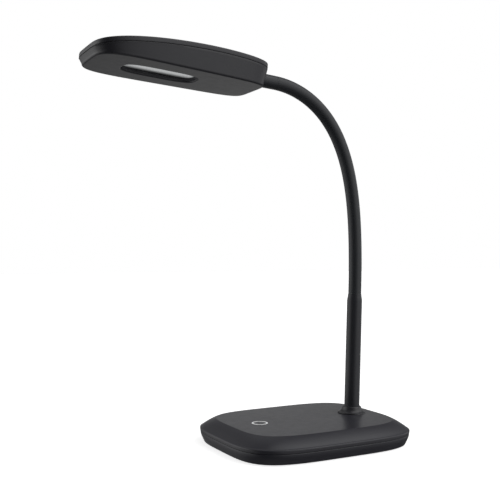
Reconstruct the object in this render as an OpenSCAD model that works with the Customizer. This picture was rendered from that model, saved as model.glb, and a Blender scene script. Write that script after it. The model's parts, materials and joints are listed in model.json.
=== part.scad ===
// Gooseneck desk lamp: a weighted base with a touch switch, a short rigid tube, a flexible
// neck of ball-jointed links under a smooth sleeve, and a flat head with a lit window below.
// Millimetres. +Z is up, the head reaches towards -X, and the origin is on the table,
// under the middle of the base.

/* [Base] */
// Length of the base, front to back
base_len = 177; // [165:1:210]
// Width of the base
base_wid = 142.5; // [132:0.5:180]
// Squareness of the base outline, where 2 is an ellipse
base_square = 4.1; // [3.6:0.1:6]
// Height of the flat top above the table
base_top_z = 22.1; // [21.6:0.1:28]
// Height of the widest line of the cover above the table
base_rim_z = 13; // [12.6:0.1:13.6]
// Height of the seam between the cover and the pan
base_seam_z = 10.2; // [9.9:0.1:10.6]
// How far the sloping shoulder runs in from the edge
shoulder_w = 12.4; // [10:0.2:14]
// How much the shoulder bulges over a straight slope
shoulder_bulge = 0.3; // [0:0.05:0.5]
// How far the foot of the pan runs in from the edge
pan_tuck = 3.2; // [2.4:0.1:4]
// Wall of the base cover and floor of the pan
base_wall = 2.2; // [1.8:0.1:2.6]
// Thickness of the non-slip pad
pad_t = 0.6; // [0.4:0.1:1.2]
// How far the non-slip pad stays inside the base outline
pad_inset = 9; // [7:0.5:14]
// Gap left at the seams of the mouldings
seam_gap = 0.35; // [0.2:0.05:0.5]

/* [Ballast and screws] */
// Length of the steel ballast plate
ballast_len = 108; // [90:1:112]
// Distance of the ballast plate from the sides of the base
ballast_side = 15; // [14:0.5:20]
// Thickness of the ballast plate
ballast_t = 5; // [4:0.1:5.2]
// Distance of the ballast plate from the front end of the base
ballast_front = 13.5; // [12:0.5:15]
// Height of the pads that carry the ballast plate
ballast_pad_h = 2; // [1.6:0.1:2.2]
// Distance of the four cover screws from the ends of the base
pan_screw_end = 29; // [28:0.5:31]
// Distance of the four cover screws from the sides of the base
pan_screw_side = 27; // [26:0.5:29]
// Shank radius of the cover screws and ballast screws
screw_r = 1.25; // [1:0.05:1.4]
// Head radius of the cover screws and ballast screws
screw_head_r = 2.8; // [2.4:0.1:3]

/* [Touch switch] */
// Distance of the touch ring from the front end of the base
touch_front = 41.9; // [39:0.1:45]
// Radius of the middle of the lit ring
touch_ring_r = 6.55; // [6:0.05:8]
// Width of the line of the lit ring
touch_line = 1.4; // [1:0.1:2]
// Length of the control board
board_len = 42; // [40:1:48]
// Width of the control board
board_wid = 32; // [30:1:40]
// Thickness of the control board
board_t = 1.6; // [1:0.1:2]
// Space between the base cover and the control board
board_drop = 4.9; // [4.6:0.1:5]

/* [Power inlet] */
// Height of the inlet above the table
jack_z = 5.9; // [5.7:0.1:6.1]
// Radius of the inlet bore
jack_bore_r = 2.75; // [2.5:0.05:2.9]
// Radius of the contact pin in the inlet
jack_pin_r = 1.05; // [0.8:0.05:1.25]
// Depth of the inlet bore
jack_depth = 9.5; // [8:0.5:11]
// Length of the inlet housing
jack_len = 14; // [13:0.5:16]
// Width of the inlet housing
jack_wid = 9; // [8.4:0.1:10]

/* [Stem] */
// Distance of the stem from the back end of the base
stem_back = 34.1; // [33:0.1:36]
// Backward lean of the stem in degrees
stem_lean = 1.9; // [0:0.1:3]
// Height of the rigid tube above the base
tube_h = 114.2; // [90:0.1:140]
// Outer radius of the rigid tube
tube_r = 7.2; // [6.9:0.1:8]
// Wall of the rigid tube
tube_wall = 1.1; // [0.9:0.1:1.3]
// Length of the necked-in top of the tube
tube_taper_h = 6; // [5:0.5:10]
// Radius of the foot of the collar
collar_foot_r = 13.2; // [12:0.1:15]
// Height of the collar
collar_h = 6.4; // [5:0.1:9]
// Radius of the threaded shank under the stem
shank_r = 4.9; // [4.6:0.1:5.2]

/* [Neck] */
// Number of links in the flexible neck
neck_links = 11; // [11]
// Length of one link along the neck
link_len = 21.6; // [20:0.1:24]
// Distance from the start of the neck to where its bend turns steady
neck_ease_len = 173; // [150:1:200]
// Share of that steady bend which the neck has where it starts
neck_first_bend = 0.08; // [0:0.01:0.3]
// Outer radius of the neck sleeve
sleeve_r = 6.25; // [6.2:0.05:6.35]
// Wall of the neck sleeve
sleeve_wall = 1.15; // [1.05:0.05:1.2]
// Radius of the balls in the neck
ball_r = 4; // [3.9:0.05:4.05]
// Running clearance between a ball and its socket
ball_fit = 0.05; // [0.03:0.01:0.08]
// Radius of the waist of a neck link
waist_r = 3.2; // [3:0.1:3.3]
// Radius of the wire passage through the neck
wire_bore_r = 1.9; // [1.6:0.1:2]
// Furthest that a neck joint bends fore and aft, in degrees
bend_fore = 15; // [10:1:15]
// Furthest that a neck joint bends sideways, in degrees
bend_side = 12; // [8:1:15]
// Radius of the lamp lead
lead_r = 1.1; // [0.9:0.05:1.2]

/* [Head] */
// Length of the head
head_len = 157; // [150:0.1:180]
// Width of the head at mid length
head_wid = 73.6; // [70:0.1:80]
// Squareness of the head outline towards the neck
head_square = 6.4; // [5:0.1:7]
// Squareness of the head outline towards its free end
head_free_square = 4.6; // [4:0.1:6]
// Share by which the head widens to its free end and narrows to the neck
head_taper = 0.11; // [0.06:0.01:0.13]
// Upward tilt of the head's free end in degrees
head_pitch = 4.2; // [2:0.1:6]
// How far the head stands from the last neck joint
head_reach = 20.1; // [18:0.1:26]
// Height of the neck's axis above the head's underside
neck_in_head_h = 12.4; // [11.8:0.1:12.6]
// Height of the tray's rim at the middle of the head, without its bow
rim_mid = 11.2; // [11:0.1:12.2]
// How much the tray's rim rises from the middle to the neck end
rim_rise = 5; // [4:0.1:5.2]
// How much the tray's rim bows up along the head
rim_bow = 6.1; // [5.8:0.1:7]
// Height of the top cover's edge
cover_edge_h = 4.4; // [4.1:0.05:4.9]
// How much the top cover is crowned
cover_crown = 1.6; // [1:0.1:3]
// Wall of the head mouldings
head_wall = 1.9; // [1.6:0.1:2]
// Draft of the tray's sides, from the rim to the underside
tray_tuck = 2.3; // [1.8:0.1:2.6]

/* [Light window] */
// Length of the window in the underside
window_len = 71; // [60:1:72]
// Width of the window
window_wid = 30; // [26:1:31]
// Squareness of the window outline
window_square = 4.4; // [3:0.1:6]
// Place of the middle of the window along the head
window_x = -13; // [-14:0.5:-12]
// Depth of the diffuser inside the window
window_depth = 4; // [3.6:0.1:4.2]
// Ledge of the diffuser all round the window
diffuser_ledge = 2; // [1.5:0.1:2.4]
// Thickness of the diffuser
diffuser_t = 2; // [1.6:0.1:2.2]
// Height of the reflector frame
reflector_h = 3; // [2.6:0.1:3.2]
// Thickness of the light board
led_board_t = 1; // [0.8:0.1:1.2]
// Thickness of the heat spreader
spreader_t = 1.2; // [1:0.1:1.4]

/* [Hidden] */
$fn = 64;
base_steps = 80;
head_steps = 80;
eps = 0.01;
snug = 0.05;
slack = 0.2;

// Colours as the lamp has them
charcoal = [0.17, 0.17, 0.18];
satin_black = [0.11, 0.11, 0.12];
sleeve_black = [0.14, 0.14, 0.15];
white_guide = [0.95, 0.95, 0.95];
frosted = [0.88, 0.90, 0.92];
board_green = [0.10, 0.32, 0.18];
board_white = [0.90, 0.90, 0.88];
steel = [0.62, 0.63, 0.65];
zinc = [0.70, 0.71, 0.72];
brass = [0.78, 0.62, 0.30];
aluminium = [0.75, 0.76, 0.78];
rubber_black = [0.08, 0.08, 0.08];
foam_grey = [0.35, 0.35, 0.36];
part_black = [0.07, 0.07, 0.08];
lead_white = [0.85, 0.85, 0.83];

// Base heights
floor_z = pad_t + base_wall;
cover_under_z = base_top_z - base_wall;
ballast_z = floor_z + ballast_pad_h;
ballast_x = ballast_front + ballast_len / 2 - base_len / 2;
ballast_wid = base_wid - 2 * ballast_side;
pan_screw_x = base_len / 2 - pan_screw_end;
pan_screw_y = base_wid / 2 - pan_screw_side;
touch_x = touch_front - base_len / 2;
stem_x = base_len / 2 - stem_back;
ballast_top_z = ballast_z + ballast_t;
post_top_z = base_seam_z - 0.4;
rim_soft = 0.9;
pan_lip_h = 1.8;
pan_lip_t = 1.1;
ballast_corner = 18;
ballast_screw_dx = 36;
ballast_screw_y = pan_screw_y - 10;
screw_head_h = 1.7;
post_r = 4.2;
head_room = 0.3;

// Control board and touch ring
board_z = cover_under_z - board_drop - board_t;
board_x = touch_x + board_len / 2 - 9.4;
ring_depth = 0.85;
ring_legs = 3;
leg_r = 0.6;
ring_led_h = 0.7;
touch_pad_r = 4.2;
board_post_r = 2.6;
board_post_inset = 3.2;
board_screw_r = 0.95;
board_screw_grip = 3.4;
board_screw_head_r = 1.9;
board_screw_head_h = 1.2;
plug_block = [6, 5.4, 3];
plug_y = 8;
lead_end_gap = 0.3;
lead_stub = 2;

// Power inlet
jack_front_x = base_len / 2 - 4.3;
jack_low = 3.5;
jack_high = 3.8;
jack_pin_root = 2.2;

// Stem, measured along its own axis from the top of the base
shank_bore_r = 2.2;
boss_r = 12;
boss_drop = 6.5;
washer_r = 10;
washer_t = 1.2;
nut_across = 14;
nut_h = 3.2;
shank_drop = 12.5;
tube_top_r = sleeve_r + 0.1;
tube_bore_r = tube_r - tube_wall;
ferrule_r = sleeve_r - sleeve_wall - 0.1;
ferrule_h = 18;
plug_h = 14;

// Neck: the bend per millimetre grows as a power of the distance, then stays steady
neck_len = neck_links * link_len;
ease_power = 2.15;
neck_turn = 90 - head_pitch + stem_lean;
function eased(s) = neck_first_bend * s
    + (1 - neck_first_bend) * neck_ease_len / (ease_power + 1) * pow(s / neck_ease_len, ease_power + 1);
neck_rate = neck_turn / (eased(neck_ease_len) + neck_len - neck_ease_len);
function turn_at(s) = neck_rate
    * (s <= neck_ease_len ? eased(s) : eased(neck_ease_len) + s - neck_ease_len);
function joint_limit(k) = k % 2 == 1 ? bend_fore : bend_side;
function half_gap(k) = sleeve_r * tan(joint_limit(k) / 2) + 0.06;
function link_turn(i) = turn_at(i * link_len) - turn_at((i - 1) * link_len);
function link_radius(i) = link_len / (link_turn(i) * PI / 180);
function joint_lean(k) = stem_lean - turn_at(k * link_len);
function link_chord(i) = 2 * link_radius(i) * sin(link_turn(i) / 2);
function along(lean) = [sin(lean), 0, cos(lean)];
first_joint_h = tube_h + half_gap(0);
stem_foot = [stem_x, 0, base_top_z];
function joint_place(k) = k == 0
    ? stem_foot + first_joint_h * along(stem_lean)
    : joint_place(k - 1) + link_chord(k) * along((joint_lean(k - 1) + joint_lean(k)) / 2);
socket_back = ball_r + 2.2;
socket_lip = 1;
sleeve_bore_r = sleeve_r - sleeve_wall;
barrel_r = sleeve_bore_r - 0.25;
socket_mouth_r = sqrt(pow(ball_r + ball_fit, 2) - pow(socket_lip, 2));

// Head: lengths along it are from its middle, heights are from its underside
head_end_x = head_len / 2 - 0.6;
sleeve_tail = 3.5;
clamp_shank_r = 4.5;
clamp_len = 10;
clamp_x = head_end_x - clamp_len / 2 - 14.5;
clamp_wid = 26;
clamp_screw_y = 9;
clamp_strap_t = 2;
tray_floor = 2;
tray_lip_h = 1.3;
tray_lip_t = 0.9;
well_wall = 1.5;
reflector_z = window_depth + diffuser_t;
led_board_z = reflector_z + reflector_h;
spreader_z = led_board_z + led_board_t;
spreader_top = spreader_z + spreader_t;
stack_len = window_len + 2 * diffuser_ledge;
stack_wid = window_wid + 2 * diffuser_ledge;
frame_wall = 2.4;
board_tab = 8;
tab_end_x = window_x + stack_len / 2 + board_tab;
clamp_shank_end = tab_end_x + 3.5;
ear_x = 30;
ear_y = stack_wid / 2 + 4.6;
ear_r = 3.4;
head_screw_r = 0.95;
head_screw_head_r = 1.9;
head_screw_head_h = 1.3;
head_post_r = 2.4;
led_rows = 2;
led_cols = 8;
led_size = [2.8, 3.5, 0.7];
tongue_w = 8;
tongue_t = 1.2;
tongue_drop = 6;
lead_plug = [6, 6, 3];

function neck_names(stem, i = 1) = i > neck_links ? [] : concat([str(stem, i)], neck_names(stem, i + 1));

// ---------------------------------------------------------------- shared shapes

// A rounded-square outline. The points crowd along the sides, which would otherwise be one
// long flat. The half towards -X may have a squareness of its own.
function outline(l, w, square, steps, free_square = 0) =
    [for (i = [0:steps - 1])
        let (quarter = 4 * (i + 0.5) / steps,
             v = quarter % 1,
             t = 90 * (quarter - v + v * v * (3 - 2 * v)),
             power = 2 / (cos(t) < 0 && free_square > 0 ? free_square : square))
        [l / 2 * sign(cos(t)) * pow(abs(cos(t)), power),
         w / 2 * sign(sin(t)) * pow(abs(sin(t)), power)]];

// A closed skin through rings of points that all have the same count
module loft(rings) {
    n = len(rings[0]);
    last = len(rings) - 1;
    points = [for (ring = rings) each ring];
    ends = [sum_of(rings[0]) / n, sum_of(rings[last]) / n];
    low = len(points);
    sides = [for (r = [0:last - 1], i = [0:n - 1])
        let (a = r * n + i, b = r * n + (i + 1) % n)
        each [[a, a + n, b], [b, a + n, b + n]]];
    bottom = [for (i = [0:n - 1]) [low, i, (i + 1) % n]];
    top = [for (i = [0:n - 1]) [low + 1, last * n + (i + 1) % n, last * n + i]];
    polyhedron(concat(points, ends), concat(sides, bottom, top));
}
function sum_of(v, i = 0) = i == len(v) - 1 ? v[i] : v[i] + sum_of(v, i + 1);

function base_ring(inset, z) =
    [for (p = outline(base_len - 2 * inset, base_wid - 2 * inset, base_square, base_steps)) [p.x, p.y, z]];
// The head widens evenly to its free end
function head_outline(inset) =
    [for (p = outline(head_len - 2 * inset, head_wid - 2 * inset, head_square, head_steps, head_free_square))
        [p.x, p.y * (1 - head_taper * p.x / (head_len / 2))]];
function head_ring(inset, z) = [for (p = head_outline(inset)) [p.x, p.y, z]];
function rim_height(x) = let (s = x / (head_len / 2)) rim_mid + rim_rise * s + rim_bow * (1 - s * s);
function rim_ring(inset, rise) = [for (p = head_outline(inset)) [p.x, p.y, rim_height(p.x) + rise]];
// A ring of the crowned top, which shrinks towards the middle of the head
function crown_ring(share, rise) =
    [for (p = head_outline(0))
        let (x = share * p.x, top = cover_edge_h + cover_crown * (1 - share * share))
        [x, share * p.y, rim_height(x) + top + rise]];
// A ring at a share of the height between the underside and the rim
function side_ring(share, low, low_inset) =
    let (inset = low_inset * (1 - share))
    [for (p = head_outline(inset)) [p.x, p.y, low + (rim_height(p.x) - low) * share]];

module rounded_rect(l, w, r) {
    square([l - 2 * r, w], center = true);
    square([l, w - 2 * r], center = true);
    for (x = [-1, 1], y = [-1, 1])
        translate([x * (l / 2 - r), y * (w / 2 - r)])
            circle(r);
}

// Bends a rounded line through its points, and adds points between them
function spline(p, parts) =
    [for (i = [0:len(p) - 2], j = [0:parts - 1])
        let (a = p[max(i - 1, 0)], b = p[i], c = p[i + 1], d = p[min(i + 2, len(p) - 1)], t = j / parts)
        0.5 * ((2 * b) + (c - a) * t + (2 * a - 5 * b + 4 * c - d) * t * t
            + (3 * b - 3 * c + d - a) * t * t * t),
     p[len(p) - 1]];
function unit(v) = v / norm(v);
function heading(p, i) = unit(p[min(i + 1, len(p) - 1)] - p[max(i - 1, 0)]);
// The side direction is carried along the line, so that the tube never twists
function carried(p, i = 0, u = undef) =
    let (t = heading(p, i),
         start = abs(t.y) < 0.9 ? [0, 1, 0] : [1, 0, 0],
         now = unit((u == undef ? start : u) - ((u == undef ? start : u) * t) * t))
    i == len(p) - 1 ? [now] : concat([now], carried(p, i + 1, now));
module tube_along(p, r, sides) {
    across = carried(p);
    loft([for (i = [0:len(p) - 1])
        let (t = heading(p, i), u = across[i], v = cross(t, u))
        [for (k = [0:sides - 1]) p[i] + r * (cos(360 * k / sides) * u + sin(360 * k / sides) * v)]]);
}

// Places measured along the stem, the neck and the head
module on_stem() {
    translate(stem_foot)
        rotate([0, stem_lean, 0])
            children();
}
module at_joint(k) {
    translate(joint_place(k))
        rotate([0, joint_lean(k), 0])
            children();
}
module in_head() {
    translate(joint_place(neck_links))
        rotate([0, head_pitch, 0])
            translate([-head_end_x - head_reach, 0, -neck_in_head_h])
                children();
}
function stem_point(x, z) =
    stem_foot + x * [cos(stem_lean), 0, -sin(stem_lean)] + z * along(stem_lean);
function neck_point(s) =
    let (i = min(floor(s / link_len) + 1, neck_links),
         within = s - (i - 1) * link_len,
         turn = within / link_radius(i) * 180 / PI)
    joint_place(i - 1)
        + 2 * link_radius(i) * sin(turn / 2) * along(joint_lean(i - 1) - turn / 2);
function head_point(x, y, z) =
    joint_place(neck_links)
        + (x - head_end_x - head_reach) * [cos(head_pitch), 0, -sin(head_pitch)]
        + [0, y, 0]
        + (z - neck_in_head_h) * [sin(head_pitch), 0, cos(head_pitch)];

// A bar that follows the arc of a link, between two distances along it
module arc_bar(i, r, from, to) {
    radius = link_radius(i);
    per_mm = link_turn(i) / link_len;
    translate([-radius, 0, 0])
        rotate([90, 0, 0])
            rotate([0, 0, from * per_mm])
                rotate_extrude(angle = (to - from) * per_mm)
                    translate([radius, 0])
                        circle(r);
}

// A screw that points down from the plane of its seat
module screw(shank_r, shank_len, head_r, head_h) {
    translate([0, 0, -shank_len])
        cylinder(r = shank_r, h = shank_len + eps);
    difference() {
        cylinder(r = head_r, h = head_h);
        translate([0, 0, head_h * 0.45])
            cylinder(r = head_r * 0.45, h = head_h, $fn = 6);
    }
}

module at_corners(x, y) {
    for (sx = [-1, 1], sy = [-1, 1])
        translate([sx * x, sy * y, 0])
            children();
}

// ---------------------------------------------------------------- base

// Rises from the rim to the top, a little fuller than a straight slope
shoulder_low = base_rim_z + rim_soft;
function shoulder_z(v) =
    shoulder_low + (base_top_z - 0.25 - shoulder_low) * (v + shoulder_bulge * v * (1 - v));
function shoulder_inset(v) = 0.8 + (shoulder_w - 0.8) * v;

module base_cover_shell() {
    inner = base_wall * 0.75;
    loft([
        base_ring(shoulder_w + 1.6, cover_under_z),
        base_ring(shoulder_inset(0.55) + inner, shoulder_z(0.55) - inner),
        base_ring(shoulder_inset(0) + base_wall + 0.2, shoulder_low - 0.4),
        base_ring(0.35 + base_wall, base_seam_z + pan_lip_h + head_room),
        base_ring(0.35 + base_wall, base_seam_z + seam_gap / 2),
        base_ring(0.35, base_seam_z + seam_gap / 2),
        base_ring(0.06, base_rim_z - 0.7),
        base_ring(0, base_rim_z),
        base_ring(0.2, base_rim_z + rim_soft * 0.6),
        base_ring(shoulder_inset(0), shoulder_low),
        base_ring(shoulder_inset(0.25), shoulder_z(0.25)),
        base_ring(shoulder_inset(0.5), shoulder_z(0.5)),
        base_ring(shoulder_inset(0.75), shoulder_z(0.75)),
        base_ring(shoulder_inset(1), shoulder_z(1)),
        base_ring(shoulder_w + 0.6, base_top_z)]);
}

module ring_leg_places() {
    for (i = [0:ring_legs - 1])
        translate([touch_x, 0, 0])
            rotate([0, 0, 60 + i * 360 / ring_legs])
                translate([touch_ring_r, 0, 0])
                    children();
}

module board_post_places() {
    translate([board_x, 0, 0])
        at_corners(board_len / 2 - board_post_inset, board_wid / 2 - board_post_inset)
            children();
}

module base_cover() {
    color(charcoal)
    difference() {
        union() {
            base_cover_shell();
            at_corners(pan_screw_x, pan_screw_y)
                translate([0, 0, post_top_z])
                    cylinder(r = post_r, h = cover_under_z + 0.8 - post_top_z);
            translate([0, 0, board_z + board_t])
                board_post_places()
                    cylinder(r = board_post_r, h = board_drop + 0.8);
            on_stem()
                translate([0, 0, -boss_drop])
                    cylinder(r = boss_r, h = boss_drop - base_wall + 0.8);
        }
        at_corners(pan_screw_x, pan_screw_y)
            translate([0, 0, post_top_z - 1])
                cylinder(r = screw_r + snug, h = 10);
        translate([0, 0, board_z + board_t - 1])
            board_post_places()
                cylinder(r = board_screw_r + snug, h = board_drop);
        on_stem()
            translate([0, 0, -boss_drop - 1])
                cylinder(r = shank_r + slack, h = boss_drop + 5);
        translate([touch_x, 0, base_top_z - ring_depth])
            difference() {
                cylinder(r = touch_ring_r + touch_line / 2 + snug, h = ring_depth + 1);
                translate([0, 0, -1])
                    cylinder(r = touch_ring_r - touch_line / 2 - snug, h = ring_depth + 3);
            }
        ring_leg_places()
            translate([0, 0, cover_under_z - 1])
                cylinder(r = leg_r + snug, h = base_wall + 1);
    }
}

module base_pan() {
    lip_inset = 0.35 + base_wall + 0.2;
    color(charcoal)
    difference() {
        union() {
            loft([
                base_ring(pan_tuck + 1, pad_t),
                base_ring(pan_tuck + 0.35, pad_t + 0.2),
                base_ring(pan_tuck, pad_t + 0.8),
                base_ring(pan_tuck * 0.4, pad_t + (base_seam_z - pad_t) * 0.52),
                base_ring(0.4, base_seam_z - seam_gap / 2 - 0.3),
                base_ring(0.55, base_seam_z - seam_gap / 2),
                base_ring(lip_inset, base_seam_z - seam_gap / 2),
                base_ring(lip_inset, base_seam_z + pan_lip_h),
                base_ring(lip_inset + pan_lip_t, base_seam_z + pan_lip_h),
                base_ring(lip_inset + pan_lip_t, base_seam_z - seam_gap / 2),
                base_ring(pan_tuck + base_wall + 0.6, floor_z)]);
            at_corners(pan_screw_x, pan_screw_y)
                translate([0, 0, floor_z - 0.5])
                    cylinder(r = post_r, h = post_top_z - floor_z + 0.5);
            translate([ballast_x, 0, floor_z - 0.5])
                at_corners(ballast_screw_dx, ballast_screw_y)
                    cylinder(r = post_r, h = ballast_pad_h + 0.5);
            for (side = [-1, 1])
                translate([jack_front_x - jack_len + 2,
                           side * (jack_wid / 2 + snug + 0.8) - 0.8, floor_z - 0.5])
                    cube([jack_len - 6, 1.6, 4.5]);
        }
        at_corners(pan_screw_x, pan_screw_y) {
            translate([0, 0, pad_t - 1])
                cylinder(r = screw_head_r + slack, h = screw_head_h + 1 + 0.1);
            translate([0, 0, pad_t])
                cylinder(r = screw_r + slack, h = post_top_z);
        }
        translate([ballast_x, 0, ballast_z - 3.2])
            at_corners(ballast_screw_dx, ballast_screw_y)
                cylinder(r = screw_r + snug, h = 5);
        translate([jack_front_x - jack_len - 0.1, -jack_wid / 2 - snug, jack_z - jack_low])
            cube([jack_len + 0.3, jack_wid + 2 * snug, base_seam_z]);
        translate([jack_front_x - 1, 0, jack_z])
            rotate([0, 90, 0])
                cylinder(r = jack_bore_r + 0.4, h = 10);
    }
}

module foot_pad() {
    color(rubber_black)
        linear_extrude(pad_t)
            polygon(outline(base_len - 2 * pad_inset, base_wid - 2 * pad_inset, base_square, base_steps));
}

module ballast_plate() {
    color(steel)
    translate([0, 0, ballast_z])
        linear_extrude(ballast_t)
            difference() {
                translate([ballast_x, 0])
                    rounded_rect(ballast_len, ballast_wid, ballast_corner);
                at_corners(pan_screw_x, pan_screw_y)
                    circle(post_r + 1);
                translate([ballast_x, 0])
                    at_corners(ballast_screw_dx, ballast_screw_y)
                        circle(screw_r + slack);
            }
}

module ballast_screws() {
    color(zinc)
        translate([ballast_x, 0, ballast_top_z])
            at_corners(ballast_screw_dx, ballast_screw_y)
                screw(screw_r, ballast_t + 3, screw_head_r, screw_head_h);
}

module pan_screws() {
    color(zinc)
        at_corners(pan_screw_x, pan_screw_y)
            translate([0, 0, pad_t + screw_head_h + 0.1])
                rotate([180, 0, 0])
                    screw(screw_r, post_top_z - pad_t + 4.5, screw_head_r, screw_head_h);
}

module touch_ring() {
    color(white_guide) {
        translate([touch_x, 0, base_top_z - ring_depth + 0.02])
            rotate_extrude()
                translate([touch_ring_r - touch_line / 2, 0])
                    square([touch_line, ring_depth - 0.02]);
        ring_leg_places()
            translate([0, 0, board_z + board_t + ring_led_h + head_room])
                cylinder(r = leg_r, h = base_top_z - ring_depth + 0.2
                    - (board_z + board_t + ring_led_h + head_room));
    }
}

module touch_pad() {
    color(foam_grey)
        translate([touch_x, 0, board_z + board_t])
            cylinder(r = touch_pad_r, h = board_drop);
}

module control_board() {
    color(board_green)
    difference() {
        translate([board_x - board_len / 2, -board_wid / 2, board_z])
            cube([board_len, board_wid, board_t]);
        translate([0, 0, board_z - 1])
            board_post_places()
                cylinder(r = board_screw_r + slack, h = board_t + 2);
    }
}

// What is soldered under the board: two plugs for the leads, a chip, a coil and a capacitor
module board_parts() {
    color(part_black)
    translate([board_x, 0, board_z]) {
        for (side = [-1, 1])
            translate([board_len / 2 - plug_block.x, side * plug_y - plug_block.y / 2, -plug_block.z])
                cube(plug_block);
        translate([-6, -2.5, -1.6])
            cube([5, 4, 1.6]);
        translate([3, 4, -2.6])
            cylinder(r = 2.6, h = 2.6);
        translate([4, -6, -2.4])
            cylinder(r = 2, h = 2.4);
    }
}

module board_screws() {
    color(zinc)
        translate([0, 0, board_z])
            board_post_places()
                rotate([180, 0, 0])
                    screw(board_screw_r, board_t + board_screw_grip, board_screw_head_r, board_screw_head_h);
}

module ring_leds() {
    color(frosted)
        ring_leg_places()
            translate([-0.8, -0.5, board_z + board_t])
                cube([1.6, 1, ring_led_h]);
}

module power_jack() {
    color(part_black)
    difference() {
        translate([jack_front_x - jack_len, -jack_wid / 2, jack_z - jack_low])
            cube([jack_len, jack_wid, jack_low + jack_high]);
        translate([jack_front_x - jack_depth, 0, jack_z])
            rotate([0, 90, 0])
                cylinder(r = jack_bore_r, h = jack_depth + 1);
        translate([jack_front_x - jack_depth - jack_pin_root, 0, jack_z])
            rotate([0, 90, 0])
                cylinder(r = jack_pin_r + 0.02, h = jack_depth);
    }
}

module jack_pin() {
    color(brass)
        translate([jack_front_x - jack_depth - jack_pin_root + 0.1, 0, jack_z])
            rotate([0, 90, 0])
                cylinder(r = jack_pin_r, h = jack_depth + jack_pin_root - 1);
}

// Two-core lead from the inlet to its plug on the control board
board_plug_x = board_x + board_len / 2;
plug_mid_z = board_z - plug_block.z / 2;
jack_lead_route = spline([
    [jack_front_x - jack_len - lead_end_gap, -2, jack_z],
    [jack_front_x - jack_len - 4, -2.6, jack_z],
    [stem_x + 3.2, -12, 8],
    [stem_x - 6.8, -17, 12],
    [stem_x - 24.8, -14, plug_mid_z],
    [board_plug_x + 6, -plug_y, plug_mid_z],
    [board_plug_x + lead_stub, -plug_y, plug_mid_z],
    [board_plug_x + lead_end_gap, -plug_y, plug_mid_z]], 3);

module jack_lead() {
    color(part_black)
        tube_along(jack_lead_route, lead_r, 8);
}

// ---------------------------------------------------------------- stem

module below_base_top() {
    translate([-base_len, -base_wid, base_top_z - tube_h])
        cube([2 * base_len, 2 * base_wid, tube_h]);
}

module stem_collar() {
    lip_r = tube_r + 1;
    color(satin_black)
    difference() {
        on_stem()
            rotate_extrude()
                polygon([
                    [tube_r + snug, -1],
                    [collar_foot_r, -1],
                    [collar_foot_r, 0.7],
                    [collar_foot_r - 1.2, 1.2],
                    [lip_r + 1.5, collar_h * 0.5],
                    [lip_r + 0.5, collar_h - 0.5],
                    [lip_r, collar_h],
                    [tube_r + snug, collar_h]]);
        below_base_top();
    }
}

module stem_tube() {
    color(satin_black)
    difference() {
        on_stem()
            rotate_extrude()
                polygon([
                    [tube_bore_r, -1],
                    [tube_r, -1],
                    [tube_r, tube_h - tube_taper_h],
                    [tube_top_r + 0.1, tube_h - 0.8],
                    [tube_top_r - 0.3, tube_h],
                    [ferrule_r + snug, tube_h],
                    [ferrule_r + snug, tube_h - ferrule_h + 2],
                    [tube_bore_r, tube_h - ferrule_h]]);
        below_base_top();
    }
}

module stem_plug() {
    color(zinc)
        on_stem()
            difference() {
                union() {
                    translate([0, 0, 0.25])
                        cylinder(r = tube_bore_r - snug, h = plug_h);
                    translate([0, 0, -shank_drop])
                        cylinder(r = shank_r, h = shank_drop + 1);
                }
                translate([0, 0, -shank_drop - 1])
                    cylinder(r = shank_bore_r, h = shank_drop + plug_h + 3);
            }
}

module stem_washer() {
    color(zinc)
        on_stem()
            translate([0, 0, -boss_drop - washer_t])
                difference() {
                    cylinder(r = washer_r, h = washer_t);
                    translate([0, 0, -1])
                        cylinder(r = shank_r + slack, h = washer_t + 2);
                }
}

module stem_nut() {
    color(zinc)
        on_stem()
            translate([0, 0, -boss_drop - washer_t - nut_h])
                difference() {
                    cylinder(r = nut_across / 2 / cos(30), h = nut_h, $fn = 6);
                    translate([0, 0, -1])
                        cylinder(r = shank_r + snug, h = nut_h + 2);
                }
}

module neck_root_socket() {
    root = first_joint_h;
    color(steel)
        on_stem()
            difference() {
                translate([0, 0, tube_h - ferrule_h + 2.4])
                    cylinder(r = ferrule_r, h = root + socket_lip - tube_h + ferrule_h - 2.4);
                translate([0, 0, root])
                    sphere(ball_r + ball_fit);
                translate([0, 0, root])
                    cylinder(r = socket_mouth_r, h = 5);
                translate([0, 0, tube_h - ferrule_h])
                    cylinder(r = wire_bore_r, h = ferrule_h);
            }
}

// The whole lead from the control board, up the stem and the neck, to the light board
lead_in_neck = [for (i = [0:46]) neck_point(neck_len * i / 46)];
lead_in_base = spline([
    [board_plug_x + lead_end_gap, plug_y, plug_mid_z],
    [board_plug_x + 6, plug_y, plug_mid_z],
    [stem_x - 24.8, 7, plug_mid_z],
    [stem_x - 13.8, 3, plug_mid_z - 2.2],
    [stem_x - 5.8, 0.6, 6.4],
    stem_point(-1.2, -shank_drop - 3),
    stem_point(0, -shank_drop + 1.5),
    stem_point(0, -shank_drop + 12)], 2);
lead_in_head = [
    head_point(head_end_x + head_reach * 0.6, 0, neck_in_head_h),
    head_point(head_end_x, 0, neck_in_head_h),
    head_point(clamp_x, 0, neck_in_head_h),
    head_point(clamp_shank_end + 1, 0, neck_in_head_h),
    head_point(clamp_shank_end - 1, 0, neck_in_head_h + 0.1),
    head_point(tab_end_x + 2 * lead_end_gap, 0, spreader_z + lead_plug.z / 2)];

module lamp_lead() {
    color(lead_white)
        tube_along(concat(lead_in_base, [stem_point(0, tube_h / 2)], lead_in_neck, lead_in_head),
            lead_r, 8);
}

// ---------------------------------------------------------------- neck

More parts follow.
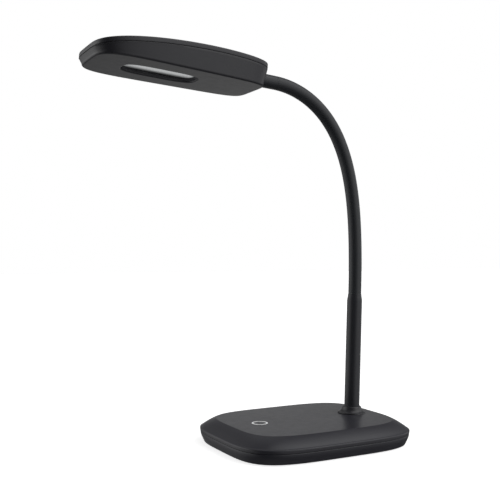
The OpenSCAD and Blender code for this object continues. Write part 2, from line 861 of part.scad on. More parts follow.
// A steel link: ball at its lower end, straight waist, and socket at its upper end
module neck_core(i) {
    straight_len = link_chord(i);
    straight_lean = (joint_lean(i - 1) + joint_lean(i)) / 2;
    color(steel)
        difference() {
            union() {
                translate(joint_place(i - 1))
                    rotate([0, straight_lean, 0]) {
                        sphere(ball_r);
                        cylinder(r = waist_r, h = straight_len - socket_back + 1);
                    }
                at_joint(i)
                    translate([0, 0, -socket_back])
                        cylinder(r = barrel_r, h = socket_back + socket_lip);
            }
            translate(joint_place(i - 1))
                rotate([0, straight_lean, 0])
                    translate([0, 0, -ball_r - 1])
                        cylinder(r = wire_bore_r, h = straight_len + ball_r + 1);
            at_joint(i) {
                sphere(ball_r + ball_fit);
                cylinder(r = socket_mouth_r, h = 5);
            }
        }
}

module neck_sleeve(i) {
    color(sleeve_black)
        at_joint(i - 1)
            difference() {
                arc_bar(i, sleeve_r, half_gap(i - 1), link_len - half_gap(i));
                arc_bar(i, sleeve_bore_r, half_gap(i - 1) - 1, link_len - half_gap(i) + 1);
            }
}

module neck_end_sleeve() {
    color(sleeve_black)
        at_joint(neck_links)
            difference() {
                translate([0, 0, half_gap(neck_links)])
                    cylinder(r = sleeve_r, h = head_reach + sleeve_tail - half_gap(neck_links));
                cylinder(r = sleeve_bore_r, h = head_reach + sleeve_tail + 1);
            }
}

module neck_end_ball() {
    shank_len = head_reach + head_end_x - clamp_shank_end;
    color(steel)
        at_joint(neck_links)
            difference() {
                union() {
                    sphere(ball_r);
                    cylinder(r = waist_r, h = shank_len);
                    translate([0, 0, socket_back])
                        cylinder(r = ferrule_r, h = head_reach + sleeve_tail - socket_back);
                    translate([0, 0, head_reach])
                        cylinder(r = clamp_shank_r, h = shank_len - head_reach);
                }
                translate([0, 0, -ball_r - 1])
                    cylinder(r = wire_bore_r, h = shank_len + ball_r + 2);
            }
}

// ---------------------------------------------------------------- head

module neck_hole() {
    translate([head_end_x + 8, 0, neck_in_head_h])
        rotate([0, -90, 0])
            cylinder(r = sleeve_r + slack, h = 8 + sleeve_tail);
}

module window_outline(grow) {
    translate([window_x, 0])
        polygon(outline(window_len + 2 * grow, window_wid + 2 * grow, window_square, head_steps));
}

module ear_places() {
    translate([window_x, 0, 0])
        at_corners(ear_x, ear_y)
            children();
}

module head_tray() {
    lip_in = head_wall + 0.1 + tray_lip_t;
    color(charcoal)
        in_head()
            difference() {
                union() {
                    loft([
                        head_ring(tray_tuck + 1.3, 0),
                        head_ring(tray_tuck + 0.5, 0.35),
                        side_ring(0, 1.2, tray_tuck),
                        side_ring(0.6, 1.2, tray_tuck),
                        rim_ring(0.03, -0.3),
                        rim_ring(0.25, 0),
                        rim_ring(head_wall + 0.1, 0),
                        rim_ring(head_wall + 0.1, tray_lip_h),
                        rim_ring(lip_in, tray_lip_h),
                        rim_ring(lip_in, -1),
                        side_ring(0.2, tray_floor, tray_tuck + lip_in),
                        head_ring(tray_tuck + head_wall + 0.8, tray_floor)]);
                    translate([0, 0, tray_floor - 0.5])
                        linear_extrude(window_depth - tray_floor + 0.5)
                            window_outline(well_wall);
                    ear_places()
                        translate([0, 0, tray_floor - 0.5])
                            cylinder(r = head_post_r, h = spreader_z - tray_floor + 0.5);
                    translate([clamp_x - clamp_len / 2, -clamp_wid / 2, tray_floor - 0.5])
                        cube([clamp_len, clamp_wid, neck_in_head_h - tray_floor + 0.5]);
                }
                translate([0, 0, -1])
                    linear_extrude(window_depth + 2)
                        window_outline(0);
                ear_places()
                    translate([0, 0, spreader_z - 6])
                        cylinder(r = head_screw_r + snug, h = 8);
                translate([clamp_x - clamp_len, 0, neck_in_head_h])
                    rotate([0, 90, 0])
                        cylinder(r = clamp_shank_r + snug, h = 2 * clamp_len);
                for (side = [-1, 1])
                    translate([clamp_x, side * clamp_screw_y, neck_in_head_h - 7])
                        cylinder(r = head_screw_r + snug, h = 8);
                neck_hole();
            }
}

tongue_places = [[-52, 1], [48, 1], [-52, -1], [48, -1]];
function half_width_at(x) =
    let (square = x < 0 ? head_free_square : head_square)
    head_wid / 2 * (1 - head_taper * x / (head_len / 2))
        * pow(1 - pow(abs(x) / (head_len / 2), square), 1 / square);

module head_cover() {
    inner = head_wall;
    color(charcoal)
        in_head()
            difference() {
                union() {
                    loft([
                        crown_ring(0.06, -inner),
                        crown_ring(0.5, -inner),
                        crown_ring(0.86, -inner),
                        rim_ring(inner, cover_edge_h - inner - 0.4),
                        rim_ring(inner, seam_gap),
                        rim_ring(0.3, seam_gap),
                        rim_ring(0.05, seam_gap + 0.3),
                        rim_ring(0.1, cover_edge_h - 0.7),
                        rim_ring(0.45, cover_edge_h - 0.15),
                        crown_ring(0.97, 0),
                        crown_ring(0.86, 0),
                        crown_ring(0.7, 0),
                        crown_ring(0.5, 0),
                        crown_ring(0.28, 0),
                        crown_ring(0.06, 0)]);
                    for (t = tongue_places)
                        translate([t[0] - tongue_w / 2,
                                   t[1] * (half_width_at(abs(t[0]) > 50 ? t[0] - 4 : t[0] + 4)
                                       - head_wall - tray_lip_t - 1.5 - tongue_t) - tongue_t / 2,
                                   rim_height(t[0]) - tongue_drop])
                            cube([tongue_w, tongue_t, tongue_drop + cover_edge_h - inner + 0.4]);
                }
                neck_hole();
            }
}

module diffuser() {
    color(frosted)
        in_head()
            translate([0, 0, window_depth])
                linear_extrude(diffuser_t)
                    window_outline(diffuser_ledge);
}

module reflector() {
    color(board_white)
        in_head()
            translate([0, 0, reflector_z])
                linear_extrude(reflector_h)
                    difference() {
                        window_outline(diffuser_ledge);
                        window_outline(diffuser_ledge - frame_wall);
                    }
}

module led_board() {
    color(board_white)
        in_head()
            translate([0, 0, led_board_z])
                linear_extrude(led_board_t) {
                    window_outline(diffuser_ledge);
                    translate([window_x + stack_len / 2 - 2, -5])
                        square([board_tab + 2, 10]);
                }
}

module leds() {
    pitch_x = (window_len - 8) / led_cols;
    pitch_y = window_wid / 2.4;
    color([0.95, 0.85, 0.35])
        in_head()
            translate([window_x, 0, led_board_z - led_size.z])
                for (i = [0:led_cols - 1], j = [0:led_rows - 1])
                    translate([(i - (led_cols - 1) / 2) * pitch_x - led_size.x / 2,
                               (j - (led_rows - 1) / 2) * pitch_y - led_size.y / 2, 0])
                        cube(led_size);
}

module lead_plug_block() {
    color(part_black)
        in_head()
            translate([tab_end_x - lead_plug.x, -lead_plug.y / 2, spreader_z])
                cube(lead_plug);
}

module heat_spreader() {
    color(aluminium)
        in_head()
            translate([0, 0, spreader_z])
                linear_extrude(spreader_t)
                    difference() {
                        union() {
                            window_outline(diffuser_ledge - 0.5);
                            ear_places()
                                circle(ear_r);
                            translate([window_x, 0])
                                for (x = [-1, 1])
                                    translate([x * ear_x, 0])
                                        square([2 * ear_r, 2 * ear_y], center = true);
                        }
                        ear_places()
                            circle(head_screw_r + slack);
                    }
}

module spreader_screws() {
    color(zinc)
        in_head()
            translate([0, 0, spreader_top])
                ear_places()
                    screw(head_screw_r, spreader_t + 5, head_screw_head_r, head_screw_head_h);
}

module neck_clamp() {
    top = clamp_shank_r + clamp_strap_t;
    color(zinc)
        in_head()
            translate([clamp_x, 0, neck_in_head_h])
                difference() {
                    union() {
                        translate([-clamp_len / 2, -clamp_wid / 2, snug])
                            cube([clamp_len, clamp_wid, clamp_strap_t]);
                        intersection() {
                            translate([-clamp_len / 2, 0, 0])
                                rotate([0, 90, 0])
                                    cylinder(r = top, h = clamp_len);
                            translate([-clamp_len, -top, snug])
                                cube([2 * clamp_len, 2 * top, top]);
                        }
                    }
                    translate([-clamp_len, 0, 0])
                        rotate([0, 90, 0])
                            cylinder(r = clamp_shank_r + snug, h = 2 * clamp_len);
                    for (side = [-1, 1])
                        translate([0, side * clamp_screw_y, -1])
                            cylinder(r = head_screw_r + slack, h = 8);
                }
}

module clamp_screws() {
    color(zinc)
        in_head()
            for (side = [-1, 1])
                translate([clamp_x, side * clamp_screw_y, neck_in_head_h + snug + clamp_strap_t])
                    screw(head_screw_r, clamp_strap_t + 6, head_screw_head_r, head_screw_head_h);
}

// ---------------------------------------------------------------- what is drawn

base_cover();
base_pan();
foot_pad();
ballast_plate();
ballast_screws();
pan_screws();
touch_ring();
touch_pad();
control_board();
board_parts();
board_screws();
ring_leds();
power_jack();
jack_pin();
jack_lead();
stem_collar();
stem_tube();
stem_plug();
stem_washer();
stem_nut();
neck_root_socket();
lamp_lead();
for (i = [1:neck_links])
    neck_core(i);
for (i = [1:neck_links])
    neck_sleeve(i);
neck_end_sleeve();
neck_end_ball();
head_tray();
head_cover();
diffuser();
reflector();
led_board();
leds();
lead_plug_block();
heat_spreader();
spreader_screws();
neck_clamp();
clamp_screws();
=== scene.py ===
# %% [markdown]
# # A desk lamp with a flexible neck
#
# The lamp stands on a weighted base with a touch switch. A short rigid tube carries a neck that
# stays where it is bent, and the neck carries a flat head with a lit window underneath.
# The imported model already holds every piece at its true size, so nothing here is moved. This
# lesson gives the mouldings smooth skins, draws one sleeve over the jointed neck, mixes a finish
# for every material, and sets up a plain studio.

import json
import math

import bmesh
import bpy
from mathutils import Matrix, Vector

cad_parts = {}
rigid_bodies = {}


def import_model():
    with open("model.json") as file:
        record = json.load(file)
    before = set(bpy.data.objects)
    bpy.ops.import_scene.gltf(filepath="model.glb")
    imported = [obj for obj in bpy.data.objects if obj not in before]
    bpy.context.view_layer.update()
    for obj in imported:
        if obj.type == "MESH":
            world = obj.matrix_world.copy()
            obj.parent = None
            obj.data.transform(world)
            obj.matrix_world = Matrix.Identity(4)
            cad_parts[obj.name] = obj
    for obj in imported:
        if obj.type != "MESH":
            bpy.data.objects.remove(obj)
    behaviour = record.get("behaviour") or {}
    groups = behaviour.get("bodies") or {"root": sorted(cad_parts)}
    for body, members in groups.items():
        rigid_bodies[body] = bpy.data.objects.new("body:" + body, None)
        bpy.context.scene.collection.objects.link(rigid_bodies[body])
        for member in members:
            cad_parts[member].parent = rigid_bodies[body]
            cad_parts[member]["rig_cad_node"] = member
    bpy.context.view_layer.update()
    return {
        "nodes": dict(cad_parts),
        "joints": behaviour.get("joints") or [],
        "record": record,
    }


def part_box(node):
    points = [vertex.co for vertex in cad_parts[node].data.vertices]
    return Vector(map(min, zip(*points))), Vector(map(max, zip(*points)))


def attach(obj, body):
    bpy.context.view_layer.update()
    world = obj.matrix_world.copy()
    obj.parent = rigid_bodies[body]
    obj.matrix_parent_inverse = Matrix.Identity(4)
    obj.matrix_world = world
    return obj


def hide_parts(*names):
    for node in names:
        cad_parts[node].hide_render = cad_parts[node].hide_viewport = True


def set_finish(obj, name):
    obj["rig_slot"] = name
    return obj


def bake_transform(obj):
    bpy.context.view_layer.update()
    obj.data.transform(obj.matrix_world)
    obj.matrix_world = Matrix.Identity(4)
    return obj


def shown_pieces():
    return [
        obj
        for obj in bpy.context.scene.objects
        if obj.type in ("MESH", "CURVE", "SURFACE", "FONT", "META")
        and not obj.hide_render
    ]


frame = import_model()
nodes = frame["nodes"]
mm = 0.001

# %% [markdown]
# ## The camera
#
# The lamp was photographed from a little below its middle, from the front and somewhat from the
# left. A camera can be posed by hand or by a helper that frames the object. Here its place comes
# from an azimuth, an elevation and a distance round one aim point, because these are the figures
# that can be worked out from the outline in the photograph.

# %% Camera
view_azimuth = math.radians(-28.2)
view_elevation = math.radians(-0.3)
view_distance = 700.3 * mm
aim_point = Vector((-56.6, 0, 178.0)) * mm
frame_width_px = 500
focal_px = 781

camera_data = bpy.data.cameras.new("photo_camera")
camera_data.sensor_width = 36
camera_data.lens = focal_px / frame_width_px * camera_data.sensor_width
camera = bpy.data.objects.new("photo_camera", camera_data)
to_camera = Vector((
    math.sin(view_azimuth) * math.cos(view_elevation),
    -math.cos(view_azimuth) * math.cos(view_elevation),
    math.sin(view_elevation)))
camera.location = aim_point + view_distance * to_camera
camera.rotation_euler = to_camera.to_track_quat("Z", "Y").to_euler()
bpy.context.scene.collection.objects.link(camera)
bpy.context.scene.camera = camera
print("Camera lens in mm:", round(camera_data.lens, 1))

# %% [markdown]
# ## Shapes from rings
#
# Every moulding of this lamp is a ring of points that is repeated, shrunk and lifted until it has
# drawn the whole wall, outside and inside. Boxes with bevels can't give the corners, which run
# smoothly into the sides, and a subdivision surface would shrink the size. So the rings are
# computed, and the mesh is only stretched between them. The points crowd together at the corners,
# where the outline turns, and spread out along the straight sides.

# %% Rings and skins
ring_steps = 224


def squarish(length, width, squareness, free_squareness=None):
    """Points of a rectangle whose corners run smoothly into its sides, each end in its own way."""
    points = []
    for i in range(ring_steps):
        quarter = 4 * (i + 0.5) / ring_steps
        within = quarter % 1
        angle = math.pi / 2 * (quarter - within + within * within * (3 - 2 * within))
        c, s = math.cos(angle), math.sin(angle)
        power = 2 / (free_squareness if c < 0 and free_squareness else squareness)
        points.append((
            length / 2 * math.copysign(abs(c) ** power, c),
            width / 2 * math.copysign(abs(s) ** power, s)))
    return points


def lifted(outline, height):
    """An outline as a ring at one height."""
    return [Vector((x, y, height)) for x, y in outline]


def round_ring(radius, height, steps=96):
    return [Vector((radius * math.cos(2 * math.pi * i / steps),
                    radius * math.sin(2 * math.pi * i / steps), height)) for i in range(steps)]


def add_skin(shape, rings, hollow):
    """Stretches faces between the rings. A hollow form closes on its first ring again."""
    count = len(rings[0])
    made = [[shape.verts.new(p) for p in ring] for ring in rings]
    pairs = list(zip(made, made[1:]))
    if hollow:
        pairs.append((made[-1], made[0]))
    for low, high in pairs:
        for i in range(count):
            j = (i + 1) % count
            shape.faces.new((low[i], low[j], high[j], high[i]))
    if not hollow:
        shape.faces.new(list(reversed(made[0])))
        shape.faces.new(made[-1])


def finish_shape(shape, name, place=Matrix.Identity(4), crease=32):
    """Makes an object of the shape: faces turned outwards, soft shading, crisp edges kept."""
    bmesh.ops.recalc_face_normals(shape, faces=shape.faces)
    mesh = bpy.data.meshes.new(name)
    shape.to_mesh(mesh)
    shape.free()
    mesh.transform(place)
    mesh.shade_smooth()
    mesh.set_sharp_from_angle(angle=math.radians(crease))
    piece = bpy.data.objects.new(name, mesh)
    bpy.context.scene.collection.objects.link(piece)
    return piece


def skin(name, rings, hollow=False, place=Matrix.Identity(4), crease=32):
    shape = bmesh.new()
    add_skin(shape, rings, hollow)
    return finish_shape(shape, name, place, crease)


def turned(name, profile, place=Matrix.Identity(4), hollow=True, crease=32):
    """A form turned on a lathe from (radius, height) points."""
    return skin(name, [round_ring(r, h) for r, h in profile], hollow, place, crease)


# %% [markdown]
# ## Cutting and joining
#
# The groove of the touch ring, the inlet and the hole for the neck are cut with Boolean
# modifiers, as a drill would cut them. Posts and pads inside the mouldings only have to be there,
# so they are joined to the skin as forms of their own, which keeps the Booleans few and quick.

# %% Cut and join helpers


def cut_away(piece, cutter, crease=32):
    """Takes the cutter's form out of the piece, and throws the cutter away."""
    knife = piece.modifiers.new("cut", "BOOLEAN")
    knife.operation = "DIFFERENCE"
    knife.solver = "EXACT"
    knife.object = cutter
    bpy.context.view_layer.update()
    evaluated = piece.evaluated_get(bpy.context.evaluated_depsgraph_get())
    carved = bpy.data.meshes.new_from_object(evaluated)
    piece.modifiers.clear()
    uncut, piece.data = piece.data, carved
    bpy.data.meshes.remove(uncut)
    bpy.data.objects.remove(cutter)
    piece.data.shade_smooth()
    piece.data.set_sharp_from_angle(angle=math.radians(crease))
    return piece


def join_forms(piece, *others):
    """Adds the meshes of other objects to the piece."""
    shape = bmesh.new()
    shape.from_mesh(piece.data)
    for other in others:
        shape.from_mesh(other.data)
        bpy.data.objects.remove(other)
    shape.to_mesh(piece.data)
    shape.free()
    return piece


def post(x, y, low, high, outer, bore, place=Matrix.Identity(4)):
    """A screw post: a tube that stands at x, y."""
    profile = [(bore, low), (outer, low), (outer, high), (bore, high)]
    return turned("post", profile, place @ Matrix.Translation((x, y, 0)))


def block(low, high, place=Matrix.Identity(4)):
    """A plain block inside a moulding, between two corners."""
    (x0, y0, z0), (x1, y1, z1) = low, high
    outline = [(x0, y0), (x1, y0), (x1, y1), (x0, y1)]
    return skin("block", [lifted(outline, z0), lifted(outline, z1)], place=place)


def corners(x, y):
    return [(sx * x, sy * y) for sx in (-1, 1) for sy in (-1, 1)]


# %% [markdown]
# ## The base cover
#
# The cover is a moulded shell. From its seam it bulges to a thin rim, then slopes up to the flat
# top, and the slope is a little fuller than a straight line. The slope matters most, because it
# catches the light in a soft gradient, so it is drawn as a formula.

# %% Base cover
base_low, base_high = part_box("base_cover")
base_len, base_wid = base_high[0] - base_low[0], base_high[1] - base_low[1]
base_square = 4.1
top_z, rim_z, seam_z = base_high[2], 13 * mm, 10.2 * mm
base_wall = 2.2 * mm
shoulder_w, shoulder_bulge = 12.4 * mm, 0.3
seam_gap = 0.5 * mm
under_top_z = top_z - base_wall
shoulder_low = rim_z + 0.9 * mm


def base_ring(inset, height):
    outline = squarish(base_len - 2 * inset, base_wid - 2 * inset, base_square)
    return lifted(outline, height)


def shoulder(share, drop=0.0):
    """A ring on the slope, from the rim at 0 to the top at 1, or so far under it."""
    rise = top_z - 0.25 * mm - shoulder_low
    height = shoulder_low + rise * (share + shoulder_bulge * share * (1 - share))
    inset = 0.8 * mm + (shoulder_w - 0.8 * mm) * share
    return base_ring(inset + drop, height - drop)


cover_rings = [
    base_ring(shoulder_w + 2.4 * mm, under_top_z),
    base_ring(shoulder_w + 1.6 * mm, under_top_z),
    shoulder(0.55, 1.65 * mm),
    base_ring(3.2 * mm, shoulder_low - 0.4 * mm),
    base_ring(2.55 * mm, seam_z + 2.1 * mm),
    base_ring(2.55 * mm, seam_z + seam_gap / 2),
    base_ring(0.45 * mm, seam_z + seam_gap / 2),
    base_ring(0.3 * mm, seam_z + 0.35 * mm),
    base_ring(0.1 * mm, rim_z - 1 * mm),
    base_ring(0.02 * mm, rim_z - 0.4 * mm),
    base_ring(0, rim_z),
    base_ring(0.06 * mm, rim_z + 0.32 * mm),
    base_ring(0.22 * mm, rim_z + 0.6 * mm),
    base_ring(0.46 * mm, rim_z + 0.82 * mm)]
cover_rings += [shoulder(i / 16) for i in range(16)]
cover_rings += [
    shoulder(0.975),
    base_ring(shoulder_w + 0.1 * mm, top_z - 0.2 * mm),
    base_ring(shoulder_w + 0.4 * mm, top_z - 0.05 * mm),
    base_ring(shoulder_w + 0.75 * mm, top_z),
    base_ring(shoulder_w + 1.3 * mm, top_z)]
base_cover = skin("base_cover_moulding", cover_rings)
print("Base cover faces:", len(base_cover.data.polygons))

# %% [markdown]
# The white ring of the switch lies in a groove, and the stem's shank passes through the top. Both
# are cut here. Under the top stand the screw posts, the posts of the control board and a boss
# that stiffens the cover round the stem.

# %% Cuts and posts of the base cover
touch_x = -46.6 * mm
ring_radius, ring_line, ring_depth = 6.55 * mm, 1.4 * mm, 0.85 * mm
stem_foot = Vector((base_len / 2 - 34.1 * mm, 0, top_z))
stem_lean = math.radians(1.9)
stem_place = Matrix.Translation(stem_foot) @ Matrix.Rotation(stem_lean, 4, "Y")
pan_screw_x, pan_screw_y = base_len / 2 - 29 * mm, base_wid / 2 - 27 * mm
post_top_z = seam_z - 0.4 * mm
board_x, board_top_z = -35 * mm, 15 * mm
board_post_x, board_post_y = 17.8 * mm, 12.8 * mm

groove_out = ring_radius + ring_line / 2 + 0.05 * mm
groove_in = ring_radius - ring_line / 2 - 0.05 * mm
groove = turned("groove", [
    (groove_in, top_z - ring_depth), (groove_out, top_z - ring_depth),
    (groove_out, top_z + 1 * mm), (groove_in, top_z + 1 * mm)],
    Matrix.Translation((touch_x, 0, 0)))
cut_away(base_cover, groove)
shank_hole = turned("shank_hole", [(5.1 * mm, -6 * mm), (5.1 * mm, 3 * mm)], stem_place, False)
cut_away(base_cover, shank_hole)
inner_posts = [
    post(x, y, post_top_z, under_top_z + 0.5 * mm, 4.2 * mm, 1.3 * mm)
    for x, y in corners(pan_screw_x, pan_screw_y)]
inner_posts += [
    post(board_x + x, y, board_top_z, under_top_z + 0.5 * mm, 2.6 * mm, 1 * mm)
    for x, y in corners(board_post_x, board_post_y)]
inner_posts.append(post(0, 0, -6.5 * mm, -1.7 * mm, 12 * mm, 5.1 * mm, stem_place))
join_forms(base_cover, *inner_posts)
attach(base_cover, "base")
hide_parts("base_cover")
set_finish(base_cover, "base_moulding")
print("Base cover with its posts:", len(base_cover.data.polygons), "faces")

# %% [markdown]
# ## The base pan
#
# The pan closes the base from below. Its outside curls in towards the foot, so that the lamp
# seems to float, and a lip inside the seam locates the cover. It is drawn in one loop of rings
# like the cover, this time from the outside in.

# %% Base pan
pad_t = 0.6 * mm
floor_z = pad_t + base_wall
lip_out, lip_in = 2.75 * mm, 3.85 * mm
lip_top = seam_z + 1.8 * mm
pan_edge = seam_z - seam_gap / 2
pan_profile = [
    (5.2, 0.6), (4.2, 0.6), (3.78, 0.68), (3.5, 0.85), (3.3, 1.12), (3.2, 1.4),
    (2.75, 2.4), (2.3, 3.5), (1.84, 4.6), (1.42, 5.6), (1.06, 6.6), (0.76, 7.6), (0.54, 8.6),
    (0.42, 9.4), (0.4, 9.65), (0.45, 9.85), (0.6, 10.01)]
pan_rings = [base_ring(inset * mm, height * mm) for inset, height in pan_profile]
pan_rings += [
    base_ring(lip_out, pan_edge), base_ring(lip_out, lip_top),
    base_ring(lip_in, lip_top), base_ring(lip_in, pan_edge),
    base_ring(6 * mm, floor_z), base_ring(7 * mm, floor_z)]
base_pan = skin("base_pan_moulding", pan_rings)

jack_x, jack_z = base_len / 2 - 4.3 * mm, 5.9 * mm
jack_len, jack_half = 14 * mm, 4.55 * mm
along_x = Matrix.Translation((jack_x, 0, jack_z)) @ Matrix.Rotation(math.pi / 2, 4, "Y")
inlet_hole = turned("inlet_hole", [(3.15 * mm, -1 * mm), (3.15 * mm, 9 * mm)], along_x, False)
cut_away(base_pan, inlet_hole)
inlet_pocket = block(
    (jack_x - jack_len - 0.1 * mm, -jack_half, jack_z - 3.5 * mm),
    (jack_x + 0.2 * mm, jack_half, lip_top + 1 * mm))
cut_away(base_pan, inlet_pocket)

ballast_x, ballast_screw_x, ballast_screw_y = -20 * mm, 36 * mm, pan_screw_y - 10 * mm
pan_posts = [
    post(x, y, floor_z - 0.5 * mm, post_top_z, 4.2 * mm, 1.45 * mm)
    for x, y in corners(pan_screw_x, pan_screw_y)]
pan_posts += [
    post(ballast_x + x, y, floor_z - 0.5 * mm, floor_z + 2 * mm, 4.2 * mm, 1.3 * mm)
    for x, y in corners(ballast_screw_x, ballast_screw_y)]
for side in (-1, 1):
    near, far = sorted((side * jack_half, side * (jack_half + 1.6 * mm)))
    pan_posts.append(block(
        (jack_x - 12 * mm, near, floor_z - 0.5 * mm), (jack_x - 4 * mm, far, floor_z + 4 * mm)))
join_forms(base_pan, *pan_posts)
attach(base_pan, "base")
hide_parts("base_pan")
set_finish(base_pan, "base_moulding")
print("Base pan faces:", len(base_pan.data.polygons))

# %% [markdown]
# ## The stem: collar and tube
#
# A drawn steel tube stands on the base in a flared collar, and is swaged at its top to the width
# of the neck. Both are round, so a lathe profile describes them fully. The tube leans back a
# little, so both are turned in the stem's own frame and then placed.

# %% Collar and tube
tube_r, tube_h = 7.2 * mm, 114.2 * mm
tube_profile = [(6.1 * mm, 0), (tube_r, 0), (tube_r, tube_h / 2)]
tube_profile += [(radius * mm, tube_h - below * mm) for radius, below in (
    (7.2, 7.3), (7.16, 6.0), (7.0, 4.8), (6.78, 3.6), (6.6, 2.5), (6.5, 1.4), (6.45, 0.8),
    (6.36, 0.3), (6.12, 0.02), (5.9, 0), (5.2, 0), (5.1, 0.3), (5.1, 16), (6.1, 18))]
stem_tube = turned("stem_tube_painted", tube_profile, stem_place)
collar_profile = [
    (7.25, -0.25), (13.0, -0.25), (13.2, 0.0), (13.2, 0.45), (13.08, 0.72), (12.8, 0.92),
    (12.3, 1.12), (11.5, 1.5), (10.7, 2.1), (10.05, 2.9), (9.55, 3.8), (9.2, 4.7),
    (8.95, 5.4), (8.72, 5.95), (8.45, 6.28), (8.15, 6.4), (7.25, 6.4)]
stem_collar = turned(
    "stem_collar_moulding", [(r * mm, h * mm) for r, h in collar_profile], stem_place)
for piece, node, slot in (
        (stem_tube, "stem_tube", "satin_tube"), (stem_collar, "stem_collar", "collar_moulding")):
    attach(piece, "base")
    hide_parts(node)
    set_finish(piece, slot)
print("Tube height in mm:", round(tube_h / mm, 1))

# %% [markdown]
# ## The line of the neck
#
# The neck is a chain of ball joints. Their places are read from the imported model, so the sleeve
# always follows the real joints. Between two joints the neck runs along an arc: it leaves each
# joint in the direction in which the last arc ended, and the chord to the next joint tells how
# far it turns. One function gives the point and the lean at any distance along the neck.

# %% The neck's path
pivots = [Vector(joint["pos_m"]) for joint in frame["joints"]]
chain = [frame["joints"][0]["parent"]] + [joint["child"] for joint in frame["joints"]]
link_len = 21.6 * mm
leans = [stem_lean]
for a, b in zip(pivots, pivots[1:]):
    chord_lean = math.atan2((b - a).x, (b - a).z)
    leans.append(2 * chord_lean - leans[-1])
neck_len = link_len * (len(pivots) - 1)


def heading(lean):
    return Vector((math.sin(lean), 0, math.cos(lean)))


def on_neck(distance):
    """The point and the lean at a distance from the first joint, also before and after the neck."""
    if distance <= 0:
        return pivots[0] + distance * heading(leans[0]), leans[0]
    if distance >= neck_len:
        return pivots[-1] + (distance - neck_len) * heading(leans[-1]), leans[-1]
    link = min(int(distance / link_len), len(pivots) - 2)
    share = distance / link_len - link
    turn = (leans[link] - leans[link + 1]) * share
    full = leans[link] - leans[link + 1]
    reach = (pivots[link + 1] - pivots[link]).length * math.sin(turn / 2) / math.sin(full / 2)
    return pivots[link] + reach * heading(leans[link] - turn / 2), leans[link] - turn


def tube_ring(centre, lean, radius, steps):
    """A ring across the neck: the neck lies in the plane Y = 0, so its side is always Y."""
    across = Vector((math.cos(lean), 0, -math.sin(lean)))
    return [centre + radius * (math.cos(2 * math.pi * i / steps) * across
                               + math.sin(2 * math.pi * i / steps) * Vector((0, 1, 0)))
            for i in range(steps)]


print("Neck length in mm:", round(neck_len / mm, 1))

# %% [markdown]
# ## The sleeve over the neck
#
# On the real lamp one soft black sleeve covers all the links and bends smoothly. A single mesh can't
# follow twelve joints. Here the sleeve is made in lengths that meet in the middle of each link. The
# rings are a millimetre apart, so each length bends as an arc. At the last joint, behind the head, the
# sleeve is a ball that turns in a seat instead. It could have been one more bending length, but with
# every joint at its upper limit that length was set down beside the head.

# %% Neck sleeve
sleeve_r, sleeve_bore = 6.25 * mm, 5.3 * mm
head_reach = 20.1 * mm
sleeve_start = -0.65 * mm
sleeve_end = neck_len + head_reach + 3.5 * mm
sleeve_steps = 64
sleeve_lengths = []


def length_of(joint):
    """Where the length of sleeve over a joint begins and ends."""
    middle = joint * link_len
    begin = sleeve_start if joint == 0 else middle - link_len / 2
    end = sleeve_end if joint == len(pivots) - 1 else middle + link_len / 2
    return begin, end


def wall_rings(begin, end, radius, steps=sleeve_steps, spacing=1 * mm):
    """Rings along the neck, one wall of a pipe."""
    count = max(2, math.ceil((end - begin) / spacing))
    places = [on_neck(begin + (end - begin) * i / count) for i in range(count + 1)]
    return [tube_ring(p, lean, radius, steps) for p, lean in places]


def sleeve_rings(begin, end):
    """Both walls of the sleeve: out along the outside, and back along the bore."""
    return wall_rings(begin, end, sleeve_r) + wall_rings(begin, end, sleeve_bore)[::-1]


def bend_with(piece):
    """Bakes the piece's place into its mesh, in the pose it was drawn in."""
    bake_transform(piece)


last = len(pivots) - 1
for joint in range(last):
    begin, end = length_of(joint)
    length = skin(f"neck_sleeve_length_{joint + 1}", sleeve_rings(begin, end), hollow=True)
    bend_with(length)
    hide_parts(f"neck_sleeve_{joint + 1}")
    sleeve_lengths.append(length)

# Distances along the neck are from the last joint: the walls stop short of it, and the ball
# reaches past it into the seat.
ball_r, ball_clearance = sleeve_r - 0.05 * mm, 0.03 * mm
wall_stop, ball_reach, seat_reach = 0.9 * mm, 3.1 * mm, 3.3 * mm
ball_steps = 8


def ball_rings(begin, end, radius):
    """Rings on a ball about the last joint."""
    rings = []
    for i in range(ball_steps + 1):
        x = begin + (end - begin) * i / ball_steps
        centre, lean = on_neck(neck_len + x)
        rings.append(tube_ring(centre, lean, math.sqrt(radius ** 2 - x ** 2), sleeve_steps))
    return rings


begin, end = length_of(last)
sleeve_ball = skin("neck_sleeve_ball", (
    wall_rings(begin, neck_len - wall_stop, sleeve_r)
    + ball_rings(-wall_stop, ball_reach, ball_r)
    + ball_rings(ball_reach, 0, sleeve_bore)
    + wall_rings(begin, neck_len - wall_stop, sleeve_bore)[::-1]), hollow=True)
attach(sleeve_ball, chain[last])
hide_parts(f"neck_sleeve_{last}")
sleeve_end_piece = skin("neck_sleeve_end", (
    wall_rings(neck_len + wall_stop, end, sleeve_r)
    + wall_rings(neck_len + seat_reach + ball_clearance, end, sleeve_bore)[::-1]
    + ball_rings(seat_reach, wall_stop, ball_r + ball_clearance)), hollow=True)
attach(sleeve_end_piece, chain[last + 1])
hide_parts("neck_end_sleeve")
sleeve_lengths += [sleeve_ball, sleeve_end_piece]
for length in sleeve_lengths:
    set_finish(length, "neck_sleeve")
print("Sleeve lengths:", len(sleeve_lengths))

# %% [markdown]
# ## The lead inside
#
# A thin white lead runs from the control board up through the stem and the neck to the light board. It
# is out of sight, but it would stick out of the neck if it stayed straight when the neck bends, so it
# is made in the same lengths as the sleeve. Over the last joint it is cut in two stiff pieces, with a
# small gap inside the neck. In the base its points are given, and a smooth curve is drawn through them.

# %% Lamp lead
lead_r = 1.1 * mm
lead_steps, lead_spacing = 12, 2 * mm


